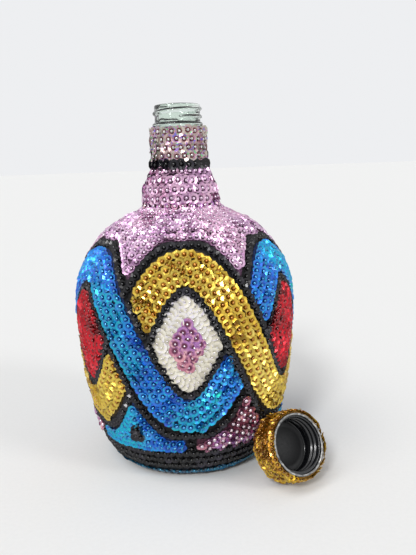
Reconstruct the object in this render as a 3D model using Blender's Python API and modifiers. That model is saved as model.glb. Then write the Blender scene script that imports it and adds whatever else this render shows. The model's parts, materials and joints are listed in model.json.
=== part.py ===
"""A round-shouldered glass bottle dressed in cloth and sewn sequins, with its screw cap off beside it.

Lengths are metres and angles are degrees. The origin is the middle of the underside, on the table,
and the bottle stands up along +Z. Its decorated front faces -Y.
"""
import bmesh
import bpy
import math
from mathutils import Matrix, Vector

# Glass bottle
bottle_height = 0.198
body_radius = 0.0592
neck_radius = 0.0132
glass_wall = 0.0035
base_glass = 0.0065
punt_rise = 0.0045
bore_radius = 0.0103
finish_height = 0.0096
finish_radius = 0.0126
rim_round = 0.0007
lip_chamfer = 0.0003
bead_radius = 0.0140
bead_height = 0.0017

# Layers that dress the glass, from the inside out
fit_gap = 0.0003
cloth_thickness = 0.0008
lay_gap = 0.0008
sequin_layer = 0.0019
pad_thickness = 0.0015
pad_overlap = 0.0022
sleeve_foot = 0.0030

# Interlaced bands of sequins round the body
wave_count = 3
pattern_centre_share = 0.5113
wave_height_share = 0.231
band_width = 0.0185
outline_width = 0.0050
corner_drop = 0.0068
web_foot = 0.0108
rib_height = 0.0009
field_split = 0.0050
corner_blunt = 0.0012
front_angle = -90.0
band_ribs = 2
eye_ribs = 2
corner_ribs = 2
yoke_ribs = 3

# Rows of sequins round the neck, from the top of the cloth down
collar_rows = 4
collar_pitch = 0.0044
black_row_pitch = 0.0045
roll_rows = 4
roll_pitch = 0.0046
groove_pitch = 0.0034
row_crown = 0.0006

# Blue row round the foot
foot_row_pitch = 0.0048

# Screw cap, measured along its own axis from the mouth to the closed end
cap_depth = 0.0142
cap_end_wall = 0.0014
cap_bore_radius = 0.0139
cap_insert_radius = 0.0150
cap_shell_wall = 0.0005
cap_rim_width = 0.0013
cap_rim_height = 0.0008
cap_cloth = 0.0006
cap_sequins = 0.0013
cap_side_rows = 3
liner_thickness = 0.0009
cap_heading = -56.6
cap_lean = 26.4
cap_bearing = -44.6
cap_lean_gap = 0.0010
table_gap = 0.0001

# Facets
glass_steps = 24
ground_steps = 30
field_steps = 40
eye_steps = 54
neck_steps = 18
cap_steps = 18
cut_overrun = 0.0018
weld_distance = 0.00001
sharp_angle = 40
search_steps = 40

# The glass outline from heel to neck: shares of the body radius, and of the height below the finish
glass_outline_shares = (
    (0.608, 0.0107), (0.701, 0.0214), (0.7635, 0.0455), (0.833, 0.0910),
    (0.895, 0.1604), (0.966, 0.2888), (1.000, 0.4492), (0.980, 0.5330),
    (0.912, 0.5960), (0.804, 0.6500), (0.668, 0.6935), (0.497, 0.7225),
    (0.373, 0.7415), (0.329, 0.7690), (0.311, 0.8050), (0.255, 0.8480),
)
neck_start_share = 0.8824

# Where the black outlines have their rows of facets, as shares of their height: closer at the shoulder
web_shares = (0.0, 0.11, 0.35, 0.62, 0.80, 0.91, 1.0)

half_band = band_width / 2
cloth_inner = fit_gap
cloth_outer = cloth_inner + cloth_thickness
layer_inner = cloth_outer + lay_gap
layer_outer = layer_inner + sequin_layer
neck_top = bottle_height - finish_height
cloth_top = neck_top - bead_height - rim_round - fit_gap
glass_foot = pad_thickness + fit_gap


# Scene and materials

def clear_scene():
    for thing in list(bpy.data.objects):
        bpy.data.objects.remove(thing, do_unlink=True)


def new_collection(name):
    group = bpy.data.collections.new(name)
    bpy.context.scene.collection.children.link(group)
    return group


def finish(name, colour, roughness, metallic=0.0, transmission=0.0):
    material = bpy.data.materials.new(name)
    material.use_nodes = True
    shader = material.node_tree.nodes["Principled BSDF"]
    shader.inputs["Base Color"].default_value = (*colour, 1.0)
    shader.inputs["Roughness"].default_value = roughness
    shader.inputs["Metallic"].default_value = metallic
    shader.inputs["Transmission Weight"].default_value = transmission
    material.diffuse_color = (*colour, 1.0)
    return material


# The glass outline as one smooth meridian

def glass_knots():
    knots = [(share * body_radius, height * neck_top) for share, height in glass_outline_shares]
    knots[0] = (knots[0][0], glass_foot)
    knots.append((neck_radius, neck_start_share * neck_top))
    knots.append((neck_radius, neck_top))
    return knots


def catmull_rom(before, start, end, after, share):
    square = share * share
    cube = square * share
    return tuple(
        (2 * b + (c - a) * share + (2 * a - 5 * b + 4 * c - d) * square + (3 * b - a - 3 * c + d) * cube) / 2
        for a, b, c, d in zip(before, start, end, after)
    )


class Meridian:
    """The outline as samples of radius, height, outward normal and length run from the heel."""

    samples_per_span = 12

    def __init__(self, knots):
        ends = [knots[0], *knots, knots[-1]]
        points = []
        for span in range(len(knots) - 1):
            for step in range(self.samples_per_span):
                points.append(catmull_rom(*ends[span:span + 4], step / self.samples_per_span))
        points.append(knots[-1])
        self.points = points
        self.runs = [0.0]
        for (r0, z0), (r1, z1) in zip(points, points[1:]):
            self.runs.append(self.runs[-1] + math.hypot(r1 - r0, z1 - z0))

    def index(self, run):
        low, high = 0, len(self.runs) - 2
        while low < high:
            middle = (low + high + 1) // 2
            if self.runs[middle] <= run:
                low = middle
            else:
                high = middle - 1
        return low

    def at(self, run, offset=0.0):
        """Radius and height of the point at this run, moved out along the normal."""
        i = self.index(run)
        share = (run - self.runs[i]) / (self.runs[i + 1] - self.runs[i])
        (r0, z0), (r1, z1) = self.points[i], self.points[i + 1]
        slope_in = self.direction(i)
        slope_out = self.direction(i + 1)
        dr = slope_in[0] + (slope_out[0] - slope_in[0]) * share
        dz = slope_in[1] + (slope_out[1] - slope_in[1]) * share
        size = math.hypot(dr, dz)
        radius = r0 + (r1 - r0) * share + offset * dz / size
        height = z0 + (z1 - z0) * share - offset * dr / size
        return radius, height

    def direction(self, i):
        before = self.points[max(i - 1, 0)]
        after = self.points[min(i + 1, len(self.points) - 1)]
        return after[0] - before[0], after[1] - before[1]

    def run_at_height(self, height):
        for i, (start, end) in enumerate(zip(self.points, self.points[1:])):
            if start[1] <= height <= end[1]:
                share = (height - start[1]) / (end[1] - start[1])
                return self.runs[i] + share * (self.runs[i + 1] - self.runs[i])
        return self.runs[-1]

    def radius_at_height(self, height, offset=0.0):
        return self.at(self.run_at_height(max(height, self.points[0][1])), offset)[0]


meridian = Meridian(glass_knots())
knot_runs = [meridian.runs[i * Meridian.samples_per_span] for i in range(len(glass_knots()))]
yoke_top_run = meridian.run_at_height(cloth_top - collar_rows * collar_pitch - black_row_pitch
                                      - roll_rows * roll_pitch - groove_pitch)
cloth_top_run = meridian.run_at_height(cloth_top)
pattern_centre = pattern_centre_share * yoke_top_run
wave_height = wave_height_share * yoke_top_run
base_line = pattern_centre - wave_height - half_band - outline_width - corner_drop


# Turned pieces

def turned(name, profile, steps, material, group, closed=True):
    """A profile of (radius, height) points, outer side top to bottom first, turned about Z."""
    mesh = bpy.data.meshes.new(name)
    edges = [(i, i + 1) for i in range(len(profile) - 1)]
    if closed:
        edges.append((len(profile) - 1, 0))
    mesh.from_pydata([(radius, 0.0, height) for radius, height in profile], edges, [])
    piece = bpy.data.objects.new(name, mesh)
    group.objects.link(piece)
    screw = piece.modifiers.new("Turn", "SCREW")
    screw.angle = math.radians(360)
    screw.steps = steps
    screw.render_steps = steps
    screw.use_merge_vertices = True
    screw.merge_threshold = weld_distance
    screw.use_smooth_shade = True
    piece.data.materials.append(material)
    return piece


def layer_profile(low_run, high_run, inner, outer):
    """The section of a layer that lies on the glass between two runs of the meridian."""
    runs = [high_run, *[r for r in reversed(knot_runs) if low_run < r < high_run], low_run]
    return [meridian.at(r, outer) for r in runs] + [meridian.at(r, inner) for r in reversed(runs)]


def glass_profile():
    top = bottle_height
    outer = [
        (finish_radius - rim_round, top), (finish_radius, top - rim_round),
        (finish_radius, neck_top + fit_gap), (bead_radius, neck_top - fit_gap),
        (bead_radius, neck_top - bead_height), (neck_radius, neck_top - bead_height - rim_round),
    ]
    outer += [meridian.at(r) for r in reversed(knot_runs[:-1])]
    foot_radius, foot_height = outer[-1]
    outer.append((foot_radius / 2, foot_height + punt_rise))
    outer.append((0.0, foot_height + punt_rise))
    floor = foot_height + punt_rise + base_glass
    inner_runs = knot_runs[3:6] + knot_runs[6:-1:2]
    inner = [(0.0, floor), (foot_radius / 2, floor)]
    inner += [meridian.at(r, -glass_wall) for r in inner_runs if meridian.at(r, -glass_wall)[0] > bore_radius]
    inner += [(bore_radius, meridian.at(knot_runs[-2])[1]), (bore_radius, top - lip_chamfer)]
    inner.append((bore_radius + lip_chamfer, top))
    return outer + inner


# Pieces wrapped on the body: x is the angle round it, y the run up the meridian

def wrapped_point(angle, run, offset):
    radius, height = meridian.at(run, offset)
    turn = math.radians(angle)
    return Vector((radius * math.cos(turn), radius * math.sin(turn), height))


def rib_shares(ribs):
    """Edges and crests of even ribs: a crest has an odd place in the list."""
    return [half_rib / (2 * ribs) for half_rib in range(2 * ribs + 1)]


def wrapped(name, angles, low, high, shares, inner, outer, material, group, closed=False, groove=0.0):
    """A slab between two curves, low(angle) and high(angle), laid round the body.

    The outer side is lower by groove at every other share, so strings of sequins stand up as ribs.
    """
    form = bmesh.new()
    bmesh.ops.create_grid(form, x_segments=len(angles) - 1, y_segments=len(shares) - 1, size=0.5)
    angle_of = form.verts.layers.float.new("angle")
    run_of = form.verts.layers.float.new("run")
    outer_of = form.verts.layers.float.new("outer")
    for vertex in form.verts:
        angle = angles[round((vertex.co.x + 0.5) * (len(angles) - 1))]
        place = round((vertex.co.y + 0.5) * (len(shares) - 1))
        vertex[angle_of] = angle
        vertex[run_of] = low(angle) + (high(angle) - low(angle)) * shares[place]
        vertex[outer_of] = outer if place % 2 else outer - groove
        vertex.co = wrapped_point(angle, vertex[run_of], inner)
    if closed:
        bmesh.ops.remove_doubles(form, verts=form.verts, dist=weld_distance)
    skin = bmesh.ops.extrude_face_region(form, geom=form.faces[:], use_keep_orig=True)
    for vertex in [item for item in skin["geom"] if isinstance(item, bmesh.types.BMVert)]:
        vertex.co = wrapped_point(vertex[angle_of], vertex[run_of], vertex[outer_of])
    bmesh.ops.triangulate(form, faces=form.faces)
    bmesh.ops.recalc_face_normals(form, faces=form.faces)
    mesh = bpy.data.meshes.new(name)
    form.to_mesh(mesh)
    form.free()
    mesh.shade_smooth()
    mesh.set_sharp_from_angle(angle=math.radians(sharp_angle))
    piece = bpy.data.objects.new(name, mesh)
    group.objects.link(piece)
    if material:
        piece.data.materials.append(material)
    return piece


# The interlace: two waves in opposite phase

def slope_factor(angle):
    swing = wave_height * wave_count * math.sin(math.radians(wave_count * (angle - front_angle)))
    return math.hypot(1.0, swing / body_radius)


def wave(angle, side, offset):
    """The run of one wave's line at this angle; offset is square to the line, upwards."""
    swing = side * wave_height * math.cos(math.radians(wave_count * (angle - front_angle)))
    return pattern_centre + swing + offset * slope_factor(angle)


def crossing_root(function, low, high):
    """The angle between low and high where a function changes sign."""
    start = function(low) > 0
    for _ in range(search_steps):
        middle = (low + high) / 2
        if (function(middle) > 0) == start:
            low = middle
        else:
            high = middle
    return (low + high) / 2


def stations(start, end, steps, extra=()):
    """Angles from start to end in even steps, this many to a full turn, with the extra ones."""
    count = max(2, round((end - start) * steps / 360))
    step = (end - start) / count
    even = [start + step * i for i in range(count + 1)]
    keep = [a for a in even if all(abs(a - b) > step / 3 for b in extra)]
    return sorted({start, end, *keep, *[b for b in extra if start < b < end]})


def field(name, start, end, low, high, ribs, material, group, cutters, kinks=(), steps=field_steps):
    """A sequined field from its outline, and the wider cutter that leaves room for it."""
    def narrow(angle):
        return high(angle, 0.0) - low(angle, 0.0) - corner_blunt
    middle = (start + end) / 2
    first = crossing_root(narrow, start, middle) if narrow(start) < 0 else start
    last = crossing_root(narrow, middle, end) if narrow(end) < 0 else end
    angles = stations(first, last, steps, kinks)
    shares = rib_shares(ribs)
    piece = wrapped(name, angles, lambda a: low(a, 0.0), lambda a: high(a, 0.0), shares,
                    layer_inner, layer_outer, material, group, groove=rib_height)
    widen = math.degrees(fit_gap / body_radius)
    wide = [first - widen, *angles[1:-1], last + widen]

    def held(angle):
        return min(max(angle, first), last)
    cutter = wrapped(name + "_room", wide, lambda a: low(held(a), fit_gap), lambda a: high(held(a), fit_gap),
                     shares, layer_inner - cut_overrun, layer_outer + cut_overrun, None, cutters)
    cutter.hide_render = True
    cutter.display_type = "WIRE"
    return piece


def band_segments(name, side, first_start, material, group, cutters):
    """One band in pieces: each runs over one crossing and stops at the two where it dips under."""
    pitch = 360 / wave_count
    for index in range(wave_count):
        start = first_start + pitch * index
        end = start + pitch
        early = start + pitch / 4
        late = end - pitch / 4

        def low(angle, grow, early=early):
            edge = wave(angle, side, -half_band - grow)
            if angle < early:
                edge = max(edge, wave(angle, -side, half_band + outline_width - grow))
            return edge

        def high(angle, grow, late=late):
            edge = wave(angle, side, half_band + grow)
            if angle > late:
                edge = min(edge, wave(angle, -side, -half_band - outline_width + grow))
            return edge

        def corner(angle):
            apart = abs(wave(angle, side, 0.0) - wave(angle, -side, 0.0))
            return apart - (2 * half_band + outline_width) * slope_factor(angle)
        kinks = [crossing_root(corner, start, early), crossing_root(corner, late, end)]
        field(f"{name}_{index + 1}", start, end, low, high, band_ribs, material, group, cutters, kinks)


def eyes(names, finishes, group, cutters):
    """The pointed ovals between the two bands, one for each half wave."""
    pitch = 180 / wave_count
    for index in range(2 * wave_count):
        middle = front_angle + pitch * index
        upper = 1 if index % 2 == 0 else -1

        def low(angle, grow, upper=upper):
            return wave(angle, -upper, half_band + outline_width - grow)

        def high(angle, grow, upper=upper):
            return wave(angle, upper, -half_band - outline_width + grow)
        field(f"{names[index % 2]}_{index // 2 + 1}", middle - pitch / 2, middle + pitch / 2, low, high,
              eye_ribs, finishes[index % 2], group, cutters, steps=eye_steps)


def corners(names, finishes, group, cutters):
    """The fields under the crossings, down to the dark foot."""
    pitch = 180 / wave_count
    split = math.degrees(field_split / body_radius) / 2
    for index in range(2 * wave_count):
        middle = front_angle + pitch * (index + 0.5)

        def low(angle, grow):
            return base_line - grow

        def high(angle, grow):
            return min(wave(angle, 1, 0.0), wave(angle, -1, 0.0)) \
                - (half_band + outline_width - grow) * slope_factor(angle)
        field(f"{names[index % 2]}_{index // 2 + 1}", middle - pitch / 2 + split, middle + pitch / 2 - split,
              low, high, corner_ribs, finishes[index % 2], group, cutters, [middle])


def top_edge(angle, offset):
    return max(wave(angle, 1, half_band + offset), wave(angle, -1, half_band + offset))


def ring_of_angles():
    return [front_angle + 360 / ground_steps * i for i in range(ground_steps + 1)]


def cut_by(piece, cutters):
    cut = piece.modifiers.new("Room for the fields", "BOOLEAN")
    cut.operand_type = "COLLECTION"
    cut.collection = cutters
    cut.operation = "DIFFERENCE"
    cut.solver = "EXACT"


# Neck rows

def neck_row(name, top, pitch, material, group):
    """One row of sequins round the neck, crowned across its width, below the height called top."""
    runs = [meridian.run_at_height(top - fit_gap / 2), meridian.run_at_height(top - pitch / 2),
            meridian.run_at_height(top - pitch + fit_gap / 2)]
    profile = [meridian.at(runs[0], layer_outer - row_crown), meridian.at(runs[1], layer_outer),
               meridian.at(runs[2], layer_outer - row_crown), meridian.at(runs[2], layer_inner),
               meridian.at(runs[0], layer_inner)]
    return turned(name, profile, neck_steps, material, group)


def neck_rows(finishes, group):
    top = cloth_top
    for index in range(collar_rows):
        neck_row(f"collar_row_{index + 1}", top, collar_pitch, finishes["white"], group)
        top -= collar_pitch
    neck_row("neck_black_row", top, black_row_pitch, finishes["black"], group)
    top -= black_row_pitch
    for index in range(roll_rows):
        neck_row(f"neck_lilac_row_{index + 1}", top, roll_pitch, finishes["lilac"], group)
        top -= roll_pitch
    neck_row("neck_groove_row", top, groove_pitch, finishes["black"], group)


# Cap: local Z is its axis, 0 at the mouth and negative towards the closed end

def cap_radii():
    """Inner and outer radius of each layer of the cap wall."""
    shell_inner = cap_insert_radius + fit_gap
    shell_outer = shell_inner + cap_shell_wall
    cloth_in = shell_outer + fit_gap
    cloth_out = cloth_in + cap_cloth
    sequin_in = cloth_out + fit_gap
    return shell_inner, shell_outer, cloth_in, cloth_out, sequin_in, sequin_in + cap_sequins


def cap_ends():
    """Height of each layer's two faces at the closed end, from the inside out."""
    faces = [-cap_depth - fit_gap]
    for thickness in (cap_shell_wall, cap_cloth, cap_sequins):
        faces.append(faces[-1] - thickness)
        faces.append(faces[-1] - fit_gap)
    return faces[:-1]


def cup_profile(outer, inner, mouth, inner_end, outer_end):
    """A cup open at the mouth: outer side first, from the mouth to the closed end."""
    return [(outer, mouth), (outer, outer_end), (0.0, outer_end), (0.0, inner_end), (inner, inner_end),
            (inner, mouth)]


def cap_pieces(finishes, group, carrier):
    shell_in, shell_out, cloth_in, cloth_out, sequin_in, sequin_out = cap_radii()
    shell_a, shell_b, cloth_a, cloth_b, top_a, top_b = cap_ends()
    mouth = -cap_rim_height
    seat = -cap_depth + cap_end_wall
    insert_mouth = mouth - fit_gap
    flange = shell_in - fit_gap - fit_gap
    insert = cup_profile(cap_insert_radius, cap_bore_radius, insert_mouth, seat, -cap_depth)
    liner_top = seat + fit_gap + liner_thickness
    liner_radius = cap_bore_radius - fit_gap
    liner = [(0.0, liner_top), (liner_radius, liner_top), (liner_radius, seat + fit_gap),
             (0.0, seat + fit_gap)]
    shell = [(flange + cap_rim_width, 0.0), (flange + cap_rim_width, mouth), (shell_out, mouth),
             (shell_out, shell_b), (0.0, shell_b), (0.0, shell_a), (shell_in, shell_a), (shell_in, mouth),
             (flange, mouth), (flange, 0.0)]
    cloth_mouth = mouth - fit_gap
    cloth = cup_profile(cloth_out, cloth_in, cloth_mouth, cloth_a, cloth_b)
    pieces = [
        turned("cap_insert", insert, cap_steps, finishes["black"], group),
        turned("cap_liner", liner, cap_steps, finishes["liner"], group, closed=False),
        turned("cap_shell", shell, cap_steps, finishes["silver"], group),
        turned("cap_cloth", cloth, cap_steps, finishes["brown"], group),
    ]
    side = cloth_mouth - top_a
    pitch = side / cap_side_rows
    for index in range(cap_side_rows):
        high = cloth_mouth - pitch * index - fit_gap / 2
        low = high - pitch + fit_gap
        row = [(sequin_out - row_crown, high), (sequin_out, (high + low) / 2), (sequin_out - row_crown, low),
               (sequin_in, low), (sequin_in, high)]
        pieces.append(turned(f"cap_side_row_{index + 1}", row, cap_steps, finishes["amber"], group))
    crown = sequin_out - row_crown
    top = [(0.0, top_a), (crown, top_a), (crown - row_crown, top_b), (0.0, top_b)]
    pieces.append(turned("cap_top_sequins", top, cap_steps, finishes["amber"], group, closed=False))
    for piece in pieces:
        piece.parent = carrier
    return pieces


def cap_place():
    """Where the cap lies: its mouth, its turn and its axis, standing on the edge of its closed end."""
    heading = math.radians(cap_heading)
    lean = math.radians(cap_lean)
    bearing = math.radians(cap_bearing)
    axis = Vector((math.cos(lean) * math.cos(heading), math.cos(lean) * math.sin(heading), math.sin(lean)))
    side = Vector((-math.sin(heading), math.cos(heading), 0.0))
    up = axis.cross(side)
    edge = cap_radii()[-1] - row_crown
    closed_end, outer_end = cap_ends()[-2:]
    rim_points = [(edge, closed_end), (edge - row_crown, outer_end)]
    sink = max(-height * axis.z + radius * math.cos(lean) for radius, height in rim_points)
    mouth_height = sink + table_gap

    def clearance(distance):
        end = Vector((distance * math.cos(bearing), distance * math.sin(bearing), 0.0))
        least = distance
        for step in range(2 * cap_steps):
            turn = math.pi * step / cap_steps
            spot = end + side * (edge * math.cos(turn)) + up * (edge * math.sin(turn))
            height = mouth_height + closed_end * axis.z + up.z * edge * math.sin(turn)
            gap = math.hypot(spot.x, spot.y) - meridian.radius_at_height(height, layer_outer)
            least = min(least, gap)
        return least - cap_lean_gap
    distance = crossing_root(clearance, 0.0, 4 * body_radius)
    mouth = Vector((distance * math.cos(bearing), distance * math.sin(bearing), 0.0)) - axis * closed_end
    mouth.z = mouth_height
    return mouth, Matrix((side, up, axis)).transposed(), axis


def build():
    """Makes every piece in its place."""
    clear_scene()
    group = new_collection("sequined_bottle")
    cutters = new_collection("cutters")
    finishes = {
        "glass": finish("clear_green_glass", (0.80, 0.90, 0.84), 0.05, transmission=0.9),
        "cloth": finish("black_cloth", (0.03, 0.03, 0.035), 0.9),
        "black": finish("black_sequins", (0.02, 0.02, 0.025), 0.3),
        "red": finish("red_sequins", (0.58, 0.03, 0.06), 0.3, 0.4),
        "blue": finish("blue_sequins", (0.03, 0.20, 0.68), 0.3, 0.4),
        "gold": finish("gold_sequins", (0.62, 0.43, 0.08), 0.3, 0.8),
        "amber": finish("amber_sequins", (0.50, 0.28, 0.05), 0.3, 0.8),
        "brown": finish("brown_cloth", (0.30, 0.18, 0.05), 0.9),
        "white": finish("pearl_sequins", (0.75, 0.74, 0.68), 0.35, 0.1),
        "lilac": finish("lilac_sequins", (0.48, 0.28, 0.50), 0.3, 0.5),
        "teal": finish("teal_sequins", (0.02, 0.18, 0.38), 0.3, 0.4),
        "silver": finish("bare_aluminium", (0.60, 0.60, 0.60), 0.35, 1.0),
        "liner": finish("dark_liner", (0.10, 0.10, 0.10), 0.7),
    }

    turned("glass_bottle", glass_profile(), glass_steps, finishes["glass"], group)
    turned("cloth_sleeve", layer_profile(sleeve_foot, cloth_top_run, cloth_inner, cloth_outer), glass_steps,
           finishes["cloth"], group)
    pad_radius = meridian.points[0][0] + pad_overlap
    turned("base_pad", [(0.0, pad_thickness), (pad_radius, pad_thickness), (pad_radius, 0.0), (0.0, 0.0)],
           glass_steps, finishes["cloth"], group, closed=False)
    foot_top = web_foot - fit_gap
    foot = layer_profile(foot_top - foot_row_pitch, foot_top, layer_inner, layer_outer)
    turned("foot_blue_row", foot, glass_steps, finishes["teal"], group)

    quarter = 90 / wave_count
    band_segments("gold_band", 1, front_angle - quarter, finishes["gold"], group, cutters)
    band_segments("blue_band", -1, front_angle + quarter, finishes["blue"], group, cutters)
    eyes(("white_eye", "red_eye"), (finishes["white"], finishes["red"]), group, cutters)
    corners(("lilac_corner", "blue_corner"), (finishes["lilac"], finishes["blue"]), group, cutters)
    web = wrapped("black_outlines", ring_of_angles(), lambda a: web_foot,
                  lambda a: top_edge(a, outline_width - fit_gap), web_shares,
                  layer_inner, layer_outer, finishes["black"], group, closed=True)
    cut_by(web, cutters)
    wrapped("lilac_yoke", ring_of_angles(), lambda a: top_edge(a, outline_width), lambda a: yoke_top_run,
            rib_shares(yoke_ribs), layer_inner, layer_outer, finishes["lilac"], group, closed=True,
            groove=rib_height)
    neck_rows(finishes, group)

    mouth, turn, axis = cap_place()
    carrier = bpy.data.objects.new("cap_axis", None)
    carrier.matrix_world = Matrix.Translation(mouth) @ turn.to_4x4()
    group.objects.link(carrier)
    cap_pieces(finishes, group, carrier)
    print("cap mouth", tuple(round(v, 5) for v in mouth), "axis", tuple(round(v, 5) for v in axis))


build()
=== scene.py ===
"""Dresses the sequined bottle: spun glass, cloth, sewn sequins with their beads, and the loose cap.

Lengths are metres. A place on the dressed body is given by the angle round it, in degrees, and the
run, which is the length up the glass outline from the heel. The front is at -90 degrees.
"""

import json
import logging
import math
import random
from collections import defaultdict
from dataclasses import dataclass, field
from enum import Enum
from typing import Callable, Sequence

import bmesh
import bpy
from mathutils import Matrix, Vector

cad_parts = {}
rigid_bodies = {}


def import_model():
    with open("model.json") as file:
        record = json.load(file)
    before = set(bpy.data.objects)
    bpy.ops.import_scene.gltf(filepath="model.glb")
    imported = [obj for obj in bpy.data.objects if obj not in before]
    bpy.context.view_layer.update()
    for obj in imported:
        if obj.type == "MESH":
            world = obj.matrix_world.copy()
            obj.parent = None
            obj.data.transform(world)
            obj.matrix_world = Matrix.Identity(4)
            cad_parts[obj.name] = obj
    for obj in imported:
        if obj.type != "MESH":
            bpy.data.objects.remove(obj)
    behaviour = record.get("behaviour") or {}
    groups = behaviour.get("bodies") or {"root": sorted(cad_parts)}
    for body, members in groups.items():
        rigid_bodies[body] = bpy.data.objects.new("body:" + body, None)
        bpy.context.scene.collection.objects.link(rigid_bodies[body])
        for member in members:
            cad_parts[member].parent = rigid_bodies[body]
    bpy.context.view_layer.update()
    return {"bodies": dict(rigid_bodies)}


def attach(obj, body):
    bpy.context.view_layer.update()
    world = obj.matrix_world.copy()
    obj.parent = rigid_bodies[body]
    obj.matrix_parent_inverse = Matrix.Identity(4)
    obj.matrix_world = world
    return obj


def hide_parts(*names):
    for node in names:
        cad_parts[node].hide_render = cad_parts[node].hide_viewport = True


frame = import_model()
LOG = logging.getLogger("sequined_bottle")
FRONT = -90.0
ALL_ROUND = (FRONT, FRONT + 360)
TABLE_GAP = 0.0001
ON_WALL = 0.00005
MERGED = 0.000005

Colour = tuple[float, float, float]
Path = Callable[[float], tuple[float, float]]
Depth = Callable[[float, float], float]
Layer = int | Callable[[float, float], int]


def linear(red: int, green: int, blue: int) -> Colour:
    """Turns a screen colour into the linear colour that a shader takes.

    Args:
        red, green, blue: The colour as seen on a screen, 0 to 255.

    Returns:
        The linear colour.
    """
    def one(value: int) -> float:
        """Returns one channel in linear light."""
        share = value / 255
        return share / 12.92 if share <= 0.04045 else ((share + 0.055) / 1.055) ** 2.4
    return one(red), one(green), one(blue)


def evenly(start: float, end: float, steps: int) -> list[float]:
    """Returns evenly spaced values from start to end, both included."""
    return [start + (end - start) * i / steps for i in range(steps + 1)]


class NodeBoard:
    """A new material's node tree, with short calls to add and join its nodes."""

    def __init__(self, name: str) -> None:
        """Starts a material with its Principled shader.

        Args:
            name: The material's name.
        """
        self.material = bpy.data.materials.new(name)
        self.material.use_nodes = True
        self.tree = self.material.node_tree
        self.shader = self.tree.nodes["Principled BSDF"]
        self.coordinates = self.tree.nodes.new("ShaderNodeTexCoord")

    def add(self, kind: str, **settings: object) -> bpy.types.Node:
        """Adds a node.

        Args:
            kind: The node's type.
            settings: Properties of the node, or input values by socket name with spaces as underscores.

        Returns:
            The node.
        """
        node = self.tree.nodes.new(kind)
        for key, value in settings.items():
            socket = node.inputs.get(key.replace("_", " "))
            if socket is not None and not hasattr(node, key):
                socket.default_value = value
            else:
                setattr(node, key, value)
        return node

    def join(self, source: bpy.types.NodeSocket, target: bpy.types.NodeSocket) -> None:
        """Links an output to an input."""
        self.tree.links.new(source, target)

    def set(self, **values: object) -> None:
        """Sets constant values on the shader's own sockets, by name with spaces as underscores."""
        for key, value in values.items():
            self.shader.inputs[key.replace("_", " ")].default_value = value

    def noise(self, scale: float, detail: float = 2.0, roughness: float = 0.5) -> bpy.types.NodeSocket:
        """Adds noise on object coordinates.

        Args:
            scale: Cells to the metre.
            detail: Octaves.
            roughness: How strong the finer octaves are.

        Returns:
            The noise's value.
        """
        node = self.add("ShaderNodeTexNoise", Scale=scale, Detail=detail, Roughness=roughness)
        self.join(self.coordinates.outputs["Object"], node.inputs["Vector"])
        return node.outputs["Fac"]

    def attribute(self, name: str) -> bpy.types.NodeSocket:
        """Returns the value of one of the mesh's own attributes."""
        return self.add("ShaderNodeAttribute", attribute_name=name).outputs["Fac"]

    def ramp(self, source: bpy.types.NodeSocket,
             stops: Sequence[tuple[float, Colour]]) -> bpy.types.NodeSocket:
        """Turns a value into a colour.

        Args:
            source: The value.
            stops: Positions and their colours.

        Returns:
            The colour.
        """
        node = self.tree.nodes.new("ShaderNodeValToRGB")
        elements = node.color_ramp.elements
        while len(elements) < len(stops):
            elements.new(0.5)
        for element, (place, colour) in zip(elements, stops):
            element.position = place
            element.color = (*colour, 1.0)
        self.join(source, node.inputs["Fac"])
        return node.outputs["Color"]

    def range(self, source: bpy.types.NodeSocket, low: float, high: float,
              start: float = 0.0, end: float = 1.0) -> bpy.types.NodeSocket:
        """Maps a value from start..end to low..high, clamped, and returns it."""
        node = self.add("ShaderNodeMapRange")
        for index, value in enumerate((start, end, low, high), start=1):
            node.inputs[index].default_value = value
        self.join(source, node.inputs[0])
        return node.outputs["Result"]

    def blend(self, share: bpy.types.NodeSocket, first: bpy.types.NodeSocket | Colour,
              second: bpy.types.NodeSocket | Colour) -> bpy.types.NodeSocket:
        """Mixes two colours.

        Args:
            share: How much of the second shows.
            first, second: Colours, or sockets that give them.

        Returns:
            The mixed colour.
        """
        node = self.add("ShaderNodeMix", data_type="RGBA")
        self.join(share, node.inputs[0])
        for value, socket in ((first, node.inputs[6]), (second, node.inputs[7])):
            if isinstance(value, tuple):
                socket.default_value = (*value, 1.0)
            else:
                self.join(value, socket)
        return node.outputs[2]

    def bump(self, height: bpy.types.NodeSocket, distance: float, strength: float = 1.0) -> None:
        """Raises the surface by a height value, times a distance in metres."""
        node = self.add("ShaderNodeBump", Distance=distance, Strength=strength)
        self.join(height, node.inputs["Height"])
        self.join(node.outputs["Normal"], self.shader.inputs["Normal"])


class Tone(Enum):
    """The colourways of the sequins."""

    PEARL = "pearl"
    OPAL = "opal"
    LILAC = "lilac"
    ROSE = "rose"
    GOLD = "gold"
    AMBER = "amber"
    BLUE = "blue"
    TEAL = "teal"
    RED = "red"
    BLACK = "black"


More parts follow.
